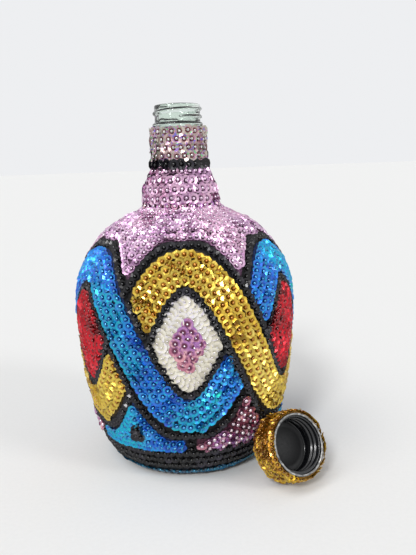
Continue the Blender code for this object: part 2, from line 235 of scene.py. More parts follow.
@dataclass(frozen=True)
class SequinFinish:
    """The foil of a sequin: its colours from piece to piece, and how it shines."""

    tone: Tone
    stops: tuple[tuple[float, Colour], ...]
    metallic: float
    roughness: float
    bead: Colour
    # Painted shade: the darker colour laid on the foil round the bead, standing in for the shade inside the
    # cup's hollow.
    heart: Colour
    cloth: Colour
    shift: Colour
    shift_share: float = 0.0
    coat: float = 0.3
    # Painted glints: the colours of iridescent and bright glints, painted into the foil's colour in small
    # random flecks.
    glints: tuple[tuple[float, Colour], ...] = ()
    glint_share: float = 0.0
    drift_scale: float = 55.0
    drift: float = 0.18
    shift_scale: float = 38.0
    glint_scale: float = 420.0
    painted_glint_hue_scale: float = 760.0
    # Where the painted shade round the bead starts and ends, as shares of the sequin's radius.
    painted_cup_shade_span: tuple[float, float] = (0.42, 0.64)
    scuff_scale: float = 2600.0
    scuff_height: float = 0.00006
    bead_grain: float = 1500.0

    def __post_init__(self) -> None:
        """Turns the screen colours, which are easier to read in a list, into linear ones."""
        for name in ("bead", "heart", "cloth", "shift"):
            object.__setattr__(self, name, linear(*getattr(self, name)))
        for name in ("stops", "glints"):
            pairs = tuple((place, linear(*colour)) for place, colour in getattr(self, name))
            object.__setattr__(self, name, pairs)

    def foil(self) -> bpy.types.Material:
        """Makes the foil: a colour for each sequin, painted shade of the cup's hollow darkening it round its
        bead, painted glints, and fine scuffs.
        """
        board = NodeBoard(f"{self.tone.value}_sequin_foil")
        drift = board.noise(self.drift_scale, 1.0)
        tint = board.add("ShaderNodeMath", operation="ADD")
        board.join(board.attribute("tint"), tint.inputs[0])
        board.join(board.range(drift, -self.drift, self.drift, 0.35, 0.65), tint.inputs[1])
        colour = board.ramp(tint.outputs[0], self.stops)
        if self.shift_share:
            share = board.range(board.noise(self.shift_scale, 0.0), 0.0, self.shift_share, 0.5, 0.62)
            colour = board.blend(share, colour, self.shift)
        # Painted glints: small random flecks of the glint colours are painted over the foil's colour.
        if self.glints:
            share = board.range(board.noise(self.glint_scale, 0.0), 0.0, self.glint_share, 0.44, 0.56)
            painted_glint_colour = board.ramp(board.noise(self.painted_glint_hue_scale, 1.0), self.glints)
            colour = board.blend(share, colour, painted_glint_colour)
        # Painted shade: the foil darkens round the bead, standing in for the shade inside the cup's hollow.
        heart = board.range(board.attribute("reach"), 1.0, 0.0, *self.painted_cup_shade_span)
        board.join(board.blend(heart, colour, self.heart), board.shader.inputs["Base Color"])
        scuffs = board.noise(self.scuff_scale, 3.0, 0.6)
        board.join(board.range(scuffs, self.roughness - 0.06, self.roughness + 0.12, 0.3, 0.7),
                   board.shader.inputs["Roughness"])
        board.bump(scuffs, self.scuff_height, 0.5)
        board.set(Metallic=self.metallic, Coat_Weight=self.coat, Coat_Roughness=0.12)
        return board.material

    def glass_bead(self) -> bpy.types.Material:
        """Makes the seed bead's shiny coloured glass."""
        board = NodeBoard(f"{self.tone.value}_seed_bead")
        light = tuple(min(1.0, 1.5 * c + 0.04) for c in self.bead)
        dark = tuple(0.55 * c for c in self.bead)
        board.join(board.ramp(board.attribute("tint"), ((0.0, dark), (0.6, self.bead), (1.0, light))),
                   board.shader.inputs["Base Color"])
        board.join(board.range(board.noise(self.bead_grain), 0.05, 0.16), board.shader.inputs["Roughness"])
        board.set(Metallic=0.5, Coat_Weight=0.5, Coat_Roughness=0.03, Specular_IOR_Level=0.8)
        return board.material

    def underlay(self) -> bpy.types.Material:
        """Makes the cloth that shows between the sequins of this colour."""
        return ClothFinish(f"{self.tone.value}_underlay_cloth", self.cloth).material()


@dataclass(frozen=True)
class ClothFinish:
    """A close plain weave."""

    name: str
    colour: Colour
    weave_scale: float = 200.0
    weave_height: float = 0.00012
    dye_scale: float = 240.0

    def material(self) -> bpy.types.Material:
        """Makes the weave: crossing threads, uneven dye and a soft sheen."""
        board = NodeBoard(self.name)
        weave = board.add("ShaderNodeMath", operation="MULTIPLY")
        for index, direction in enumerate("XZ"):
            threads = board.add("ShaderNodeTexWave", Scale=self.weave_scale, Distortion=1.5, Detail=1.0,
                                bands_direction=direction)
            board.join(board.coordinates.outputs["Object"], threads.inputs["Vector"])
            board.join(threads.outputs["Fac"], weave.inputs[index])
        dark = tuple(0.45 * c for c in self.colour)
        shade = board.ramp(weave.outputs[0], ((0.0, dark), (0.7, self.colour)))
        board.join(board.blend(board.range(board.noise(self.dye_scale, 4.0), 0.0, 0.35), shade, dark),
                   board.shader.inputs["Base Color"])
        board.bump(weave.outputs[0], self.weave_height, 0.7)
        board.set(Roughness=0.85, Sheen_Weight=0.08, Sheen_Roughness=0.4)
        return board.material


@dataclass(frozen=True)
class GlassFinish:
    """Clear pressed glass with a breath of green."""

    tint: Colour = (0.86, 0.94, 0.89)
    cloud_scale: float = 30.0
    smear_scale: float = 700.0
    ripple_scale: float = 160.0
    ripple_height: float = 0.0004

    def material(self) -> bpy.types.Material:
        """Makes the glass, with the slow waves and small pits of a moulded bottle."""
        board = NodeBoard("pale_green_glass")
        deep = tuple(0.93 * c for c in self.tint)
        board.join(board.blend(board.noise(self.cloud_scale), self.tint, deep),
                   board.shader.inputs["Base Color"])
        board.join(board.range(board.noise(self.smear_scale, 3.0), 0.02, 0.09, 0.3, 0.8),
                   board.shader.inputs["Roughness"])
        board.bump(board.noise(self.ripple_scale, 2.0), self.ripple_height, 0.35)
        board.set(Transmission_Weight=1.0, IOR=1.52)
        return board.material


@dataclass(frozen=True)
class PlasticFinish:
    """Moulded plastic."""

    name: str
    colour: Colour
    roughness: float
    coat: float = 0.4
    flow_scale: float = 90.0
    scuff_scale: float = 900.0
    scuff_height: float = 0.00004

    def material(self) -> bpy.types.Material:
        """Makes the plastic, with faint flow marks and handling scuffs."""
        board = NodeBoard(self.name)
        deep = tuple(0.6 * c for c in self.colour)
        board.join(board.blend(board.noise(self.flow_scale, 3.0), self.colour, deep),
                   board.shader.inputs["Base Color"])
        scuffs = board.noise(self.scuff_scale, 4.0, 0.6)
        board.join(board.range(scuffs, self.roughness - 0.05, self.roughness + 0.15, 0.3, 0.75),
                   board.shader.inputs["Roughness"])
        board.bump(scuffs, self.scuff_height, 0.5)
        board.set(Coat_Weight=self.coat, Coat_Roughness=0.1, Specular_IOR_Level=0.5)
        return board.material


@dataclass(frozen=True)
class AluminiumFinish:
    """Bare rolled aluminium, dulled by handling."""

    dark: Colour = linear(84, 84, 86)
    bright: Colour = linear(176, 176, 174)
    patch_scale: float = 420.0
    mark_scale: float = 1800.0
    mark_height: float = 0.0001

    def material(self) -> bpy.types.Material:
        """Makes the metal, with rolling marks and dull patches."""
        board = NodeBoard("rolled_aluminium")
        dull = board.noise(self.patch_scale, 5.0, 0.65)
        board.join(board.ramp(dull, ((0.3, self.dark), (0.7, self.bright))),
                   board.shader.inputs["Base Color"])
        board.join(board.range(dull, 0.6, 0.32, 0.3, 0.7), board.shader.inputs["Roughness"])
        board.bump(board.noise(self.mark_scale, 3.0), self.mark_height, 0.6)
        board.set(Metallic=1.0)
        return board.material


# In each finish, the darker colour round the bead is painted shade of the cup's hollow, and the glints are
# painted glints.
FINISHES: dict[Tone, SequinFinish] = {finish.tone: finish for finish in (
    SequinFinish(
        Tone.PEARL, metallic=0.05, roughness=0.30, coat=0.4,
        stops=((0.0, (192, 185, 166)), (0.35, (211, 205, 188)), (0.7, (222, 217, 202)),
               (1.0, (231, 226, 220))),
        bead=(216, 208, 214), heart=(198, 192, 174), cloth=(200, 194, 176),
        shift=(214, 212, 225), shift_share=0.4,
        glints=((0.38, (214, 206, 236)), (0.5, (226, 222, 208)), (0.62, (236, 226, 196))),
        glint_share=0.5),
    SequinFinish(
        Tone.OPAL, metallic=0.45, roughness=0.22,
        stops=((0.0, (132, 86, 98)), (0.22, (168, 130, 136)), (0.45, (192, 176, 168)),
               (0.62, (202, 196, 182)), (0.78, (140, 176, 146)), (0.9, (178, 142, 172)),
               (1.0, (140, 148, 196))),
        bead=(190, 188, 186), heart=(120, 40, 58), cloth=(142, 92, 100),
        shift=(206, 168, 172), shift_share=0.5,
        glints=((0.34, (98, 102, 208)), (0.43, (168, 108, 176)), (0.5, (200, 168, 168)),
                (0.56, (184, 128, 136)), (0.64, (84, 194, 132))),
        glint_share=0.85),
    SequinFinish(
        Tone.LILAC, metallic=0.7, roughness=0.22,
        stops=((0.0, (112, 72, 108)), (0.3, (170, 126, 166)), (0.65, (212, 170, 206)),
               (1.0, (248, 220, 242))),
        bead=(214, 190, 210), heart=(78, 40, 70), cloth=(128, 86, 120),
        shift=(236, 190, 212), shift_share=0.5,
        glints=((0.36, (140, 84, 140)), (0.5, (214, 174, 210)), (0.64, (250, 214, 226))),
        glint_share=0.6),
    SequinFinish(
        Tone.ROSE, metallic=0.75, roughness=0.26,
        stops=((0.0, (112, 60, 82)), (0.35, (182, 112, 136)), (0.7, (220, 152, 164)),
               (1.0, (242, 194, 198))),
        bead=(228, 212, 222), heart=(104, 50, 78), cloth=(96, 50, 72),
        shift=(172, 118, 188), shift_share=0.85,
        glints=((0.38, (110, 62, 118)), (0.5, (206, 138, 164)), (0.62, (244, 196, 190))),
        glint_share=0.6),
    SequinFinish(
        Tone.GOLD, metallic=0.9, roughness=0.22,
        stops=((0.0, (120, 92, 22)), (0.35, (190, 152, 44)), (0.7, (222, 188, 72)),
               (1.0, (246, 226, 128))),
        bead=(184, 118, 20), heart=(138, 96, 14), cloth=(96, 70, 18),
        shift=(232, 208, 96), shift_share=0.5,
        glints=((0.38, (150, 112, 20)), (0.5, (208, 172, 52)), (0.62, (240, 220, 110))),
        glint_share=0.5),
    SequinFinish(
        Tone.AMBER, metallic=0.85, roughness=0.26,
        stops=((0.0, (110, 68, 12)), (0.4, (166, 114, 24)), (0.75, (190, 144, 40)),
               (1.0, (220, 188, 84))),
        bead=(152, 100, 24), heart=(102, 58, 12), cloth=(72, 36, 8),
        shift=(204, 172, 50), shift_share=0.8,
        glints=((0.38, (132, 66, 14)), (0.5, (182, 132, 34)), (0.62, (226, 196, 86))),
        glint_share=0.7),
    SequinFinish(
        Tone.BLUE, metallic=0.7, roughness=0.24,
        stops=((0.0, (14, 62, 150)), (0.35, (30, 104, 210)), (0.7, (36, 140, 224)),
               (0.88, (60, 176, 236)), (1.0, (30, 200, 160))),
        bead=(50, 150, 205), heart=(10, 56, 140), cloth=(10, 44, 104),
        shift=(10, 172, 196), shift_share=0.8,
        glints=((0.36, (92, 96, 232)), (0.5, (34, 128, 220)), (0.64, (20, 206, 196))),
        glint_share=0.5),
    SequinFinish(
        Tone.TEAL, metallic=0.6, roughness=0.26,
        stops=((0.0, (6, 52, 84)), (0.5, (14, 104, 146)), (1.0, (60, 160, 190))),
        bead=(50, 130, 160), heart=(6, 44, 70), cloth=(6, 22, 34),
        shift=(20, 130, 140), shift_share=0.5),
    SequinFinish(
        Tone.RED, metallic=0.65, roughness=0.28, coat=0.15,
        stops=((0.0, (98, 6, 16)), (0.4, (172, 14, 30)), (0.75, (204, 24, 42)),
               (1.0, (234, 64, 76))),
        bead=(120, 8, 18), heart=(74, 4, 12), cloth=(84, 6, 14),
        shift=(190, 18, 34), shift_share=0.3),
    SequinFinish(
        Tone.BLACK, metallic=0.35, roughness=0.26, coat=0.15,
        stops=((0.0, (7, 7, 9)), (0.6, (14, 13, 16)), (1.0, (46, 42, 52))),
        bead=(14, 14, 17), heart=(5, 5, 6), cloth=(8, 8, 9),
        shift=(30, 26, 40), shift_share=0.5),
)}


@dataclass(frozen=True)
class BottleForm:
    """The glass outline, and the layers that dress it."""

    height: float = 0.198
    body_radius: float = 0.0592
    neck_radius: float = 0.0132
    wall: float = 0.0035
    base_glass: float = 0.0065
    punt_rise: float = 0.0045
    bore_radius: float = 0.0103
    finish_height: float = 0.0096
    finish_radius: float = 0.0126
    bead_radius: float = 0.0140
    bead_height: float = 0.0017
    rim_round: float = 0.0007
    gap: float = 0.0003
    cloth: float = 0.0008
    seat: float = 0.0013
    pad: float = 0.0015
    knot_shares: tuple[tuple[float, float], ...] = (
        (0.608, 0.0107), (0.701, 0.0214), (0.7635, 0.0455), (0.833, 0.0910),
        (0.895, 0.1604), (0.966, 0.2888), (1.000, 0.4492), (0.980, 0.5330),
        (0.912, 0.5960), (0.804, 0.6500), (0.668, 0.6935), (0.497, 0.7225),
        (0.373, 0.7415), (0.329, 0.7690), (0.311, 0.8050), (0.255, 0.8480),
    )
    neck_start_share: float = 0.8824
    collar_rows: int = 4
    collar_pitch: float = 0.0044
    black_pitch: float = 0.0045
    roll_rows: int = 4
    roll_pitch: float = 0.0046
    groove_pitch: float = 0.0034
    samples: int = 12
    points: list[tuple[float, float]] = field(default_factory=list)
    runs: list[float] = field(default_factory=list)

    def __post_init__(self) -> None:
        """Samples the outline as one smooth line through its knots."""
        knots = [(share * self.body_radius, high * self.neck_top) for share, high in self.knot_shares]
        knots[0] = (knots[0][0], self.pad + self.gap)
        knots.append((self.neck_radius, self.neck_start_share * self.neck_top))
        knots.append((self.neck_radius, self.neck_top))
        ends = [knots[0], *knots, knots[-1]]
        for span in range(len(knots) - 1):
            for step in range(self.samples):
                self.points.append(self.between(ends[span:span + 4], step / self.samples))
        self.points.append(knots[-1])
        self.runs.append(0.0)
        for (r0, z0), (r1, z1) in zip(self.points, self.points[1:]):
            self.runs.append(self.runs[-1] + math.hypot(r1 - r0, z1 - z0))

    @staticmethod
    def between(four: Sequence[tuple[float, float]], share: float) -> tuple[float, float]:
        """Returns the point at a share of the way between the middle two of four knots."""
        square = share * share
        cube = square * share
        return tuple((2 * b + (c - a) * share + (2 * a - 5 * b + 4 * c - d) * square
                      + (3 * b - a - 3 * c + d) * cube) / 2 for a, b, c, d in zip(*four))

    @property
    def neck_top(self) -> float:
        """Returns the height where the bare finish starts."""
        return self.height - self.finish_height

    @property
    def cloth_top(self) -> float:
        """Returns the height where the cloth ends under the bead of the finish."""
        return self.neck_top - self.bead_height - self.rim_round - self.gap

    @property
    def yoke_top(self) -> float:
        """Returns the run where the shoulder's sequins meet the groove under the neck."""
        return self.run_at(self.cloth_top - self.collar_rows * self.collar_pitch - self.black_pitch
                           - self.roll_rows * self.roll_pitch - self.groove_pitch)

    @property
    def cloth_outer(self) -> float:
        """Returns how far the cloth's outer side stands off the glass."""
        return self.gap + self.cloth

    def index(self, run: float) -> int:
        """Returns the sample just below a run."""
        low, high = 0, len(self.runs) - 2
        while low < high:
            middle = (low + high + 1) // 2
            low, high = (middle, high) if self.runs[middle] <= run else (low, middle - 1)
        return low

    def slope(self, i: int) -> tuple[float, float]:
        """Returns the outline's direction at a sample."""
        before = self.points[max(i - 1, 0)]
        after = self.points[min(i + 1, len(self.points) - 1)]
        return after[0] - before[0], after[1] - before[1]

    def rise(self, run: float) -> tuple[float, float]:
        """Returns the unit direction, out and up, in which the outline runs there."""
        i = self.index(run)
        share = (run - self.runs[i]) / (self.runs[i + 1] - self.runs[i])
        (dr0, dz0), (dr1, dz1) = self.slope(i), self.slope(i + 1)
        dr, dz = dr0 + (dr1 - dr0) * share, dz0 + (dz1 - dz0) * share
        size = math.hypot(dr, dz)
        return dr / size, dz / size

    def at(self, run: float, offset: float = 0.0) -> tuple[float, float]:
        """Returns the radius and height at a run, moved out from the glass."""
        i = self.index(run)
        share = (run - self.runs[i]) / (self.runs[i + 1] - self.runs[i])
        (r0, z0), (r1, z1) = self.points[i], self.points[i + 1]
        dr, dz = self.rise(run)
        return r0 + (r1 - r0) * share + offset * dz, z0 + (z1 - z0) * share - offset * dr

    def run_at(self, height: float) -> float:
        """Returns the run at a height."""
        for i, (start, end) in enumerate(zip(self.points, self.points[1:])):
            if start[1] <= height <= end[1]:
                share = (height - start[1]) / (end[1] - start[1])
                return self.runs[i] + share * (self.runs[i + 1] - self.runs[i])
        return self.runs[-1]

    def place(self, angle: float, run: float, offset: float = 0.0) -> Vector:
        """Returns the point at an angle and a run, moved out from the glass."""
        radius, height = self.at(run, offset)
        turn = math.radians(angle)
        return Vector((radius * math.cos(turn), radius * math.sin(turn), height))

    def seat_at(self, angle: float, run: float, heading: float) -> Matrix:
        """Returns the frame of a sequin on the cloth: x along its row, z out of the cloth."""
        turn = math.radians(angle)
        dr, dz = self.rise(run)
        around = Vector((-math.sin(turn), math.cos(turn), 0.0))
        upward = Vector((dr * math.cos(turn), dr * math.sin(turn), dz))
        along = around * math.cos(heading) + upward * math.sin(heading)
        out = around.cross(upward).normalized()
        across = out.cross(along)
        matrix = Matrix((along, across, out)).transposed().to_4x4()
        matrix.translation = self.place(angle, run, self.seat)
        return matrix


class Wave(Enum):
    """The two interlaced bands, by the side to which each swings at the front."""

    GOLD = 1
    BLUE = -1


@dataclass
class Interlace:
    """The two waves that make the fields of the body."""

    form: BottleForm
    count: int = 3
    centre_share: float = 0.5113
    swing_share: float = 0.231
    half_band: float = 0.00925
    outline: float = 0.0050
    corner_drop: float = 0.0068
    foot_line: float = 0.0108
    split: float = 0.0050
    centre: float = field(init=False)
    swing: float = field(init=False)
    base_line: float = field(init=False)

    def __post_init__(self) -> None:
        """Works out the waves' height on the body from the run up to the neck."""
        top = self.form.yoke_top
        self.centre = self.centre_share * top
        self.swing = self.swing_share * top
        self.base_line = self.centre - self.swing - self.half_band - self.outline - self.corner_drop

    def slope(self, angle: float) -> float:
        """Returns how much longer a step across the line is when it is measured up the body."""
        rate = self.swing * self.count * math.sin(math.radians(self.count * (angle - FRONT)))
        return math.hypot(1.0, rate / self.form.body_radius)

    def line(self, angle: float, wave: Wave, offset: float = 0.0) -> float:
        """Returns the run of a wave's line at an angle, moved square to itself."""
        swing = wave.value * self.swing * math.cos(math.radians(self.count * (angle - FRONT)))
        return self.centre + swing + offset * self.slope(angle)

    def off(self, angle: float, run: float, wave: Wave) -> float:
        """Returns how far a place lies above a wave's line, square to it."""
        return (run - self.line(angle, wave)) / self.slope(angle)

    @property
    def edge(self) -> float:
        """Returns how far a field's edge lies from the middle line of the band beside it."""
        return self.half_band + self.outline

    def band(self, wave: Wave, start: float) -> Depth:
        """Returns the depth inside one piece of a band, which runs over one crossing."""
        other = Wave(-wave.value)
        quarter = 90 / self.count
        end = start + 4 * quarter

        def depth(angle: float, run: float) -> float:
            """Returns how deep a place lies inside the piece."""
            inside = self.half_band - abs(self.off(angle, run, wave))
            if angle < start + quarter:
                inside = min(inside, self.off(angle, run, other) - self.edge)
            if angle > end - quarter:
                inside = min(inside, -self.off(angle, run, other) - self.edge)
            return inside if start <= angle <= end else -self.outline
        return depth

    def eye(self, upper: Wave) -> Depth:
        """Returns the depth inside the fields under one wave and over the other."""
        lower = Wave(-upper.value)

        def depth(angle: float, run: float) -> float:
            """Returns how deep a place lies inside the field."""
            return min(-self.off(angle, run, upper), self.off(angle, run, lower)) - self.edge
        return depth

    def corner(self, middle: float) -> Depth:
        """Returns the depth inside the field below a crossing."""
        half_angle = 90 / self.count

        def depth(angle: float, run: float) -> float:
            """Returns how deep a place lies inside the field."""
            side = math.radians(half_angle - abs(angle - middle)) * self.form.at(run)[0] - self.split / 2
            below = -max(self.off(angle, run, Wave.GOLD), self.off(angle, run, Wave.BLUE)) - self.edge
            return min(side, below, run - self.base_line)
        return depth

    def above(self, angle: float, run: float) -> float:
        """Returns how far a place lies above the edge of the yoke."""
        return min(self.off(angle, run, Wave.GOLD), self.off(angle, run, Wave.BLUE)) - self.edge

    def yoke_edge(self, angle: float, offset: float) -> float:
        """Returns the run of the yoke's lower edge, moved square to itself."""
        return max(self.line(angle, wave, self.edge + offset) for wave in Wave)


@dataclass(frozen=True)
class Stitch:
    """One sequin's place: angle and run, the way its row heads, and its colour among the piece's."""

    angle: float
    run: float
    heading: float
    layer: int = 0


@dataclass
class Rows:
    """Lays strings of sequins on the body, and keeps them from crowding each other."""

    form: BottleForm
    least: float
    lead: float = 0.25
    steps_per_degree: int = 4
    least_steps: int = 24
    upright_steps: int = 120
    cells: dict[tuple[int, ...], list[Vector]] = field(default_factory=lambda: defaultdict(list))
    stitches: list[Stitch] = field(default_factory=list)

    def cell(self, point: Vector) -> tuple[int, ...]:
        """Returns the cell that a point lies in."""
        return tuple(int(c // self.least) for c in point)

    def clear(self, point: Vector) -> bool:
        """Tells whether a point is far enough from the sequins laid so far."""
        home = self.cell(point)
        steps = (-1, 0, 1)
        near = (self.cells.get((home[0] + i, home[1] + j, home[2] + k), ())
                for i in steps for j in steps for k in steps)
        return all((point - spot).length >= self.least for cell in near for spot in cell)

    def lay(self, path: Path, start: float, end: float, pitch: float, depth: Depth, margin: float,
            layer: Layer = 0, shift: float = 0.0, closed: bool = False) -> None:
        """Lays one string at an even pitch, where it lies deep enough in its field.

        Args:
            path: Gives angle and run from a parameter.
            start, end: Where the parameter starts and ends.
            pitch: Spacing of the sequins.
            depth: How deep a place lies in the field.
            margin: The least depth that a sequin needs.
            layer: The colour among the piece's, or a function of angle and run that gives it.
            shift: Share of a pitch that the string starts late.
            closed: Whether the string closes on itself, so its pitch divides it evenly.
        """
        steps = self.upright_steps
        if abs(end - start) > 1:
            steps = max(self.least_steps, int(abs(end - start) * self.steps_per_degree))
        knots = [path(value) for value in evenly(start, end, steps)]
        spots = [self.form.place(angle, run) for angle, run in knots]
        total = sum((b - a).length for a, b in zip(spots, spots[1:]))
        if closed:
            pitch = total / max(1, round(total / pitch))
        due = pitch * (self.lead + shift)
        passed = 0.0
        for i in range(steps):
            length = (spots[i + 1] - spots[i]).length
            while length > 0 and passed + length >= due and due <= total:
                share = (due - passed) / length
                angle = knots[i][0] + (knots[i + 1][0] - knots[i][0]) * share
                run = knots[i][1] + (knots[i + 1][1] - knots[i][1]) * share
                due += pitch
                spot = self.form.place(angle, run)
                if depth(angle, run) < margin or not self.clear(spot):
                    continue
                heading = math.atan2(knots[i + 1][1] - knots[i][1],
                                     math.radians(knots[i + 1][0] - knots[i][0]) * self.form.at(run)[0])
                self.cells[self.cell(spot)].append(spot)
                number = layer(angle, run) if callable(layer) else layer
                self.stitches.append(Stitch(angle, run, heading, number))
            passed += length


@dataclass
class SequinPattern:
    """A cupped sequin with the bead that holds it."""

    radius: float = 0.0025
    floor: float = 0.0013
    cup: float = 0.0008
    sides: int = 8
    bead: float = 0.0008
    bead_flatness: float = 0.8
    bead_lift: float = 0.7

    def mesh(self) -> bpy.types.Mesh:
        """Makes the sequin at the origin: its foil in material 0, its bead in material 1.

        Returns:
            The mesh that every stitch copies.
        """
        form = bmesh.new()
        bmesh.ops.create_circle(form, cap_ends=True, cap_tris=True, segments=self.sides, radius=self.floor)
        ring = [edge for edge in form.edges if edge.is_boundary]
        wall = bmesh.ops.extrude_edge_only(form, edges=ring)["geom"]
        lip = [item for item in wall if isinstance(item, bmesh.types.BMVert)]
        grow = self.radius / self.floor
        bmesh.ops.scale(form, verts=lip, vec=(grow, grow, 1.0))
        bmesh.ops.translate(form, verts=lip, vec=(0.0, 0.0, self.cup))
        rim = [item for item in wall if isinstance(item, bmesh.types.BMEdge) and item.is_boundary]
        under = bmesh.ops.extrude_edge_only(form, edges=rim)["geom"]
        back = [item for item in under if isinstance(item, bmesh.types.BMVert)]
        bmesh.ops.pointmerge(form, verts=back, merge_co=(0.0, 0.0, -self.cup / 6))
        bmesh.ops.recalc_face_normals(form, faces=form.faces)
        bead = bmesh.ops.create_uvsphere(form, u_segments=8, v_segments=5, radius=self.bead)["verts"]
        bmesh.ops.scale(form, verts=bead, vec=(1.0, 1.0, self.bead_flatness))
        bmesh.ops.translate(form, verts=bead, vec=(0.0, 0.0, self.bead * self.bead_lift))
        for face in {face for vertex in bead for face in vertex.link_faces}:
            face.smooth = True
            face.material_index = 1
        mesh = bpy.data.meshes.new("sequin_pattern")
        form.to_mesh(mesh)
        form.free()
        return mesh


OUTLINE_PATTERN = SequinPattern(radius=0.0023, floor=0.0012, sides=6, cup=0.0010)
NECK_PATTERN = SequinPattern(radius=0.0031, floor=0.0014, cup=0.0011, bead=0.00095)
GROOVE_PATTERN = SequinPattern(radius=0.0019, floor=0.0010, cup=0.0008, bead=0.0008)
FOOT_PATTERN = SequinPattern(radius=0.0025, floor=0.0013)
CAP_SIDE_PATTERN = SequinPattern(radius=0.0020, floor=0.0011, cup=0.0006, sides=6, bead=0.0006)
CAP_END_PATTERN = SequinPattern(radius=0.0023, floor=0.0012, cup=0.0003, sides=6, bead=0.0005)
PATTERNS: dict[Tone, SequinPattern] = {
    Tone.GOLD: SequinPattern(radius=0.0028, floor=0.0014, cup=0.0009, sides=6),
    Tone.BLUE: SequinPattern(radius=0.0028, floor=0.0014, cup=0.0009),
    Tone.PEARL: SequinPattern(radius=0.0031, floor=0.0025, cup=0.00012, sides=12, bead=0.0005),
    Tone.RED: SequinPattern(radius=0.0027, floor=0.0014),
    Tone.ROSE: SequinPattern(radius=0.0031, floor=0.0014, cup=0.0010, bead=0.0011),
    Tone.LILAC: SequinPattern(),
}


@dataclass(frozen=True)
class LevelRows:
    """Level rows of one colour round the neck or the foot."""

    name: str
    slot: str
    tone: Tone
    pattern: SequinPattern
    pitch: float
    tilt: float = 4.0
    unevenness: float = 1.0


COLLAR = LevelRows("collar_row", "pearl_sequins", Tone.OPAL, NECK_PATTERN, 0.0037, unevenness=1.3)
NECK_BLACK = LevelRows("neck_black_row", "black_sequins", Tone.BLACK, NECK_PATTERN, 0.0034, tilt=14.0)
ROLL = LevelRows("neck_lilac_row", "lilac_sequins", Tone.LILAC, NECK_PATTERN, 0.0036, unevenness=1.5)
GROOVE = LevelRows("neck_groove_row", "black_sequins", Tone.ROSE, GROOVE_PATTERN, 0.0040)
FOOT = LevelRows("foot_blue_row", "teal_sequins", Tone.TEAL, FOOT_PATTERN, 0.0036, tilt=7.0)


def show(piece: bpy.types.Object, body: str, slot: str, *nodes: str) -> None:
    """Puts a finished piece in the scene, on its body, for its CAD nodes.

    Args:
        piece: The piece.
        body: The body that it rides on.
        slot: The material slot named for the piece; not used.
        nodes: The CAD nodes that it stands for.
    """
    bpy.context.scene.collection.objects.link(piece)
    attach(piece, body)
    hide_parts(*nodes)
    LOG.info("%s on %s, %d faces", piece.name, body, len(piece.data.polygons))


@dataclass
class SewnPiece:
    """One field of sequins as one mesh, with the cloth under it."""

    name: str
    node: str
    slot: str
    tones: tuple[Tone, ...]
    pattern: SequinPattern
    tilt: float = 15.0
    unevenness: float = 1.0
    body: str = "bottle"
    stray: float = 0.00018
    stray_turn: float = 9.0
    stray_lean: float = 5.0
    stray_roll: float = 6.0
    lift_share: float = 0.75
    upper_lift: float = 0.0
    tint_middle: float = 0.5
    tint_spread: float = 0.2

    def slack(self, chance: random.Random) -> Matrix:
        """Returns how one sequin sits off its seat: it leans along its row and strays a little."""
        turn, lean, roll = (math.radians(chance.gauss(0.0, spread) * self.unevenness)
                            for spread in (self.stray_turn, self.stray_lean, self.stray_roll))
        tilt = math.radians(self.tilt)
        lift = self.pattern.radius * math.sin(tilt) * self.lift_share
        place = Matrix.Translation((chance.gauss(0.0, self.stray), chance.gauss(0.0, self.stray), lift))
        return (place @ Matrix.Rotation(turn, 4, "Z") @ Matrix.Rotation(lean - tilt, 4, "Y")
                @ Matrix.Rotation(roll, 4, "X"))

    def build(self, seats: Sequence[tuple[Matrix, int]], palette: "Palette",
              cloth: bmesh.types.BMesh | None = None) -> None:
        """Copies the sequin to every seat.

        Args:
            seats: Each sequin's frame and its colour among the piece's.
            palette: The shared materials.
            cloth: The cloth under the sequins, or None, which this call frees.
        """
        chance = random.Random(self.name)
        source = self.pattern.mesh()
        form = bmesh.new()
        for _ in seats:
            form.from_mesh(source)
        form.verts.ensure_lookup_table()
        form.faces.ensure_lookup_table()
        tint = form.verts.layers.float.new("tint")
        reach = form.verts.layers.float.new("reach")
        per_vertex, per_face = len(source.vertices), len(source.polygons)
        for number, (seat, layer) in enumerate(seats):
            matrix = seat @ Matrix.Translation((0.0, 0.0, self.upper_lift * layer)) @ self.slack(chance)
            shade = min(1.0, max(0.0, chance.gauss(self.tint_middle, self.tint_spread)))
            for vertex in form.verts[number * per_vertex:(number + 1) * per_vertex]:
                vertex[reach] = vertex.co.xy.length / self.pattern.radius
                vertex.co = matrix @ vertex.co
                vertex.co.z = max(vertex.co.z, TABLE_GAP)
                vertex[tint] = shade
            if layer:
                for face in form.faces[number * per_face:(number + 1) * per_face]:
                    face.material_index += 2 * layer
        mesh = bpy.data.meshes.new(self.name)
        if cloth is not None:
            for face in cloth.faces:
                face.material_index = 2 * len(self.tones)
            patch = bpy.data.meshes.new(self.name + "_cloth")
            cloth.to_mesh(patch)
            cloth.free()
            form.from_mesh(patch)
            bpy.data.meshes.remove(patch)
        form.to_mesh(mesh)
        form.free()
        bpy.data.meshes.remove(source)
        for tone in self.tones:
            mesh.materials.append(palette.foil(tone))
            mesh.materials.append(palette.bead(tone))
        if cloth is not None:
            mesh.materials.append(palette.cloth(self.tones[0]))
        piece = bpy.data.objects.new(self.name, mesh)
        show(piece, self.body, self.slot, self.node)


@dataclass
class Palette:
    """The materials, each made once."""

    made: dict[str, bpy.types.Material] = field(default_factory=dict)

    def once(self, key: str, make: Callable[[], bpy.types.Material]) -> bpy.types.Material:
        """Returns the material of that key, made the first time."""
        if key not in self.made:
            self.made[key] = make()
        return self.made[key]

    def foil(self, tone: Tone) -> bpy.types.Material:
        """Returns the foil of a tone."""
        return self.once(f"foil {tone.value}", FINISHES[tone].foil)

    def bead(self, tone: Tone) -> bpy.types.Material:
        """Returns the bead glass of a tone."""
        return self.once(f"bead {tone.value}", FINISHES[tone].glass_bead)

    def cloth(self, tone: Tone) -> bpy.types.Material:
        """Returns the cloth under a tone."""
        return self.once(f"cloth {tone.value}", FINISHES[tone].underlay)


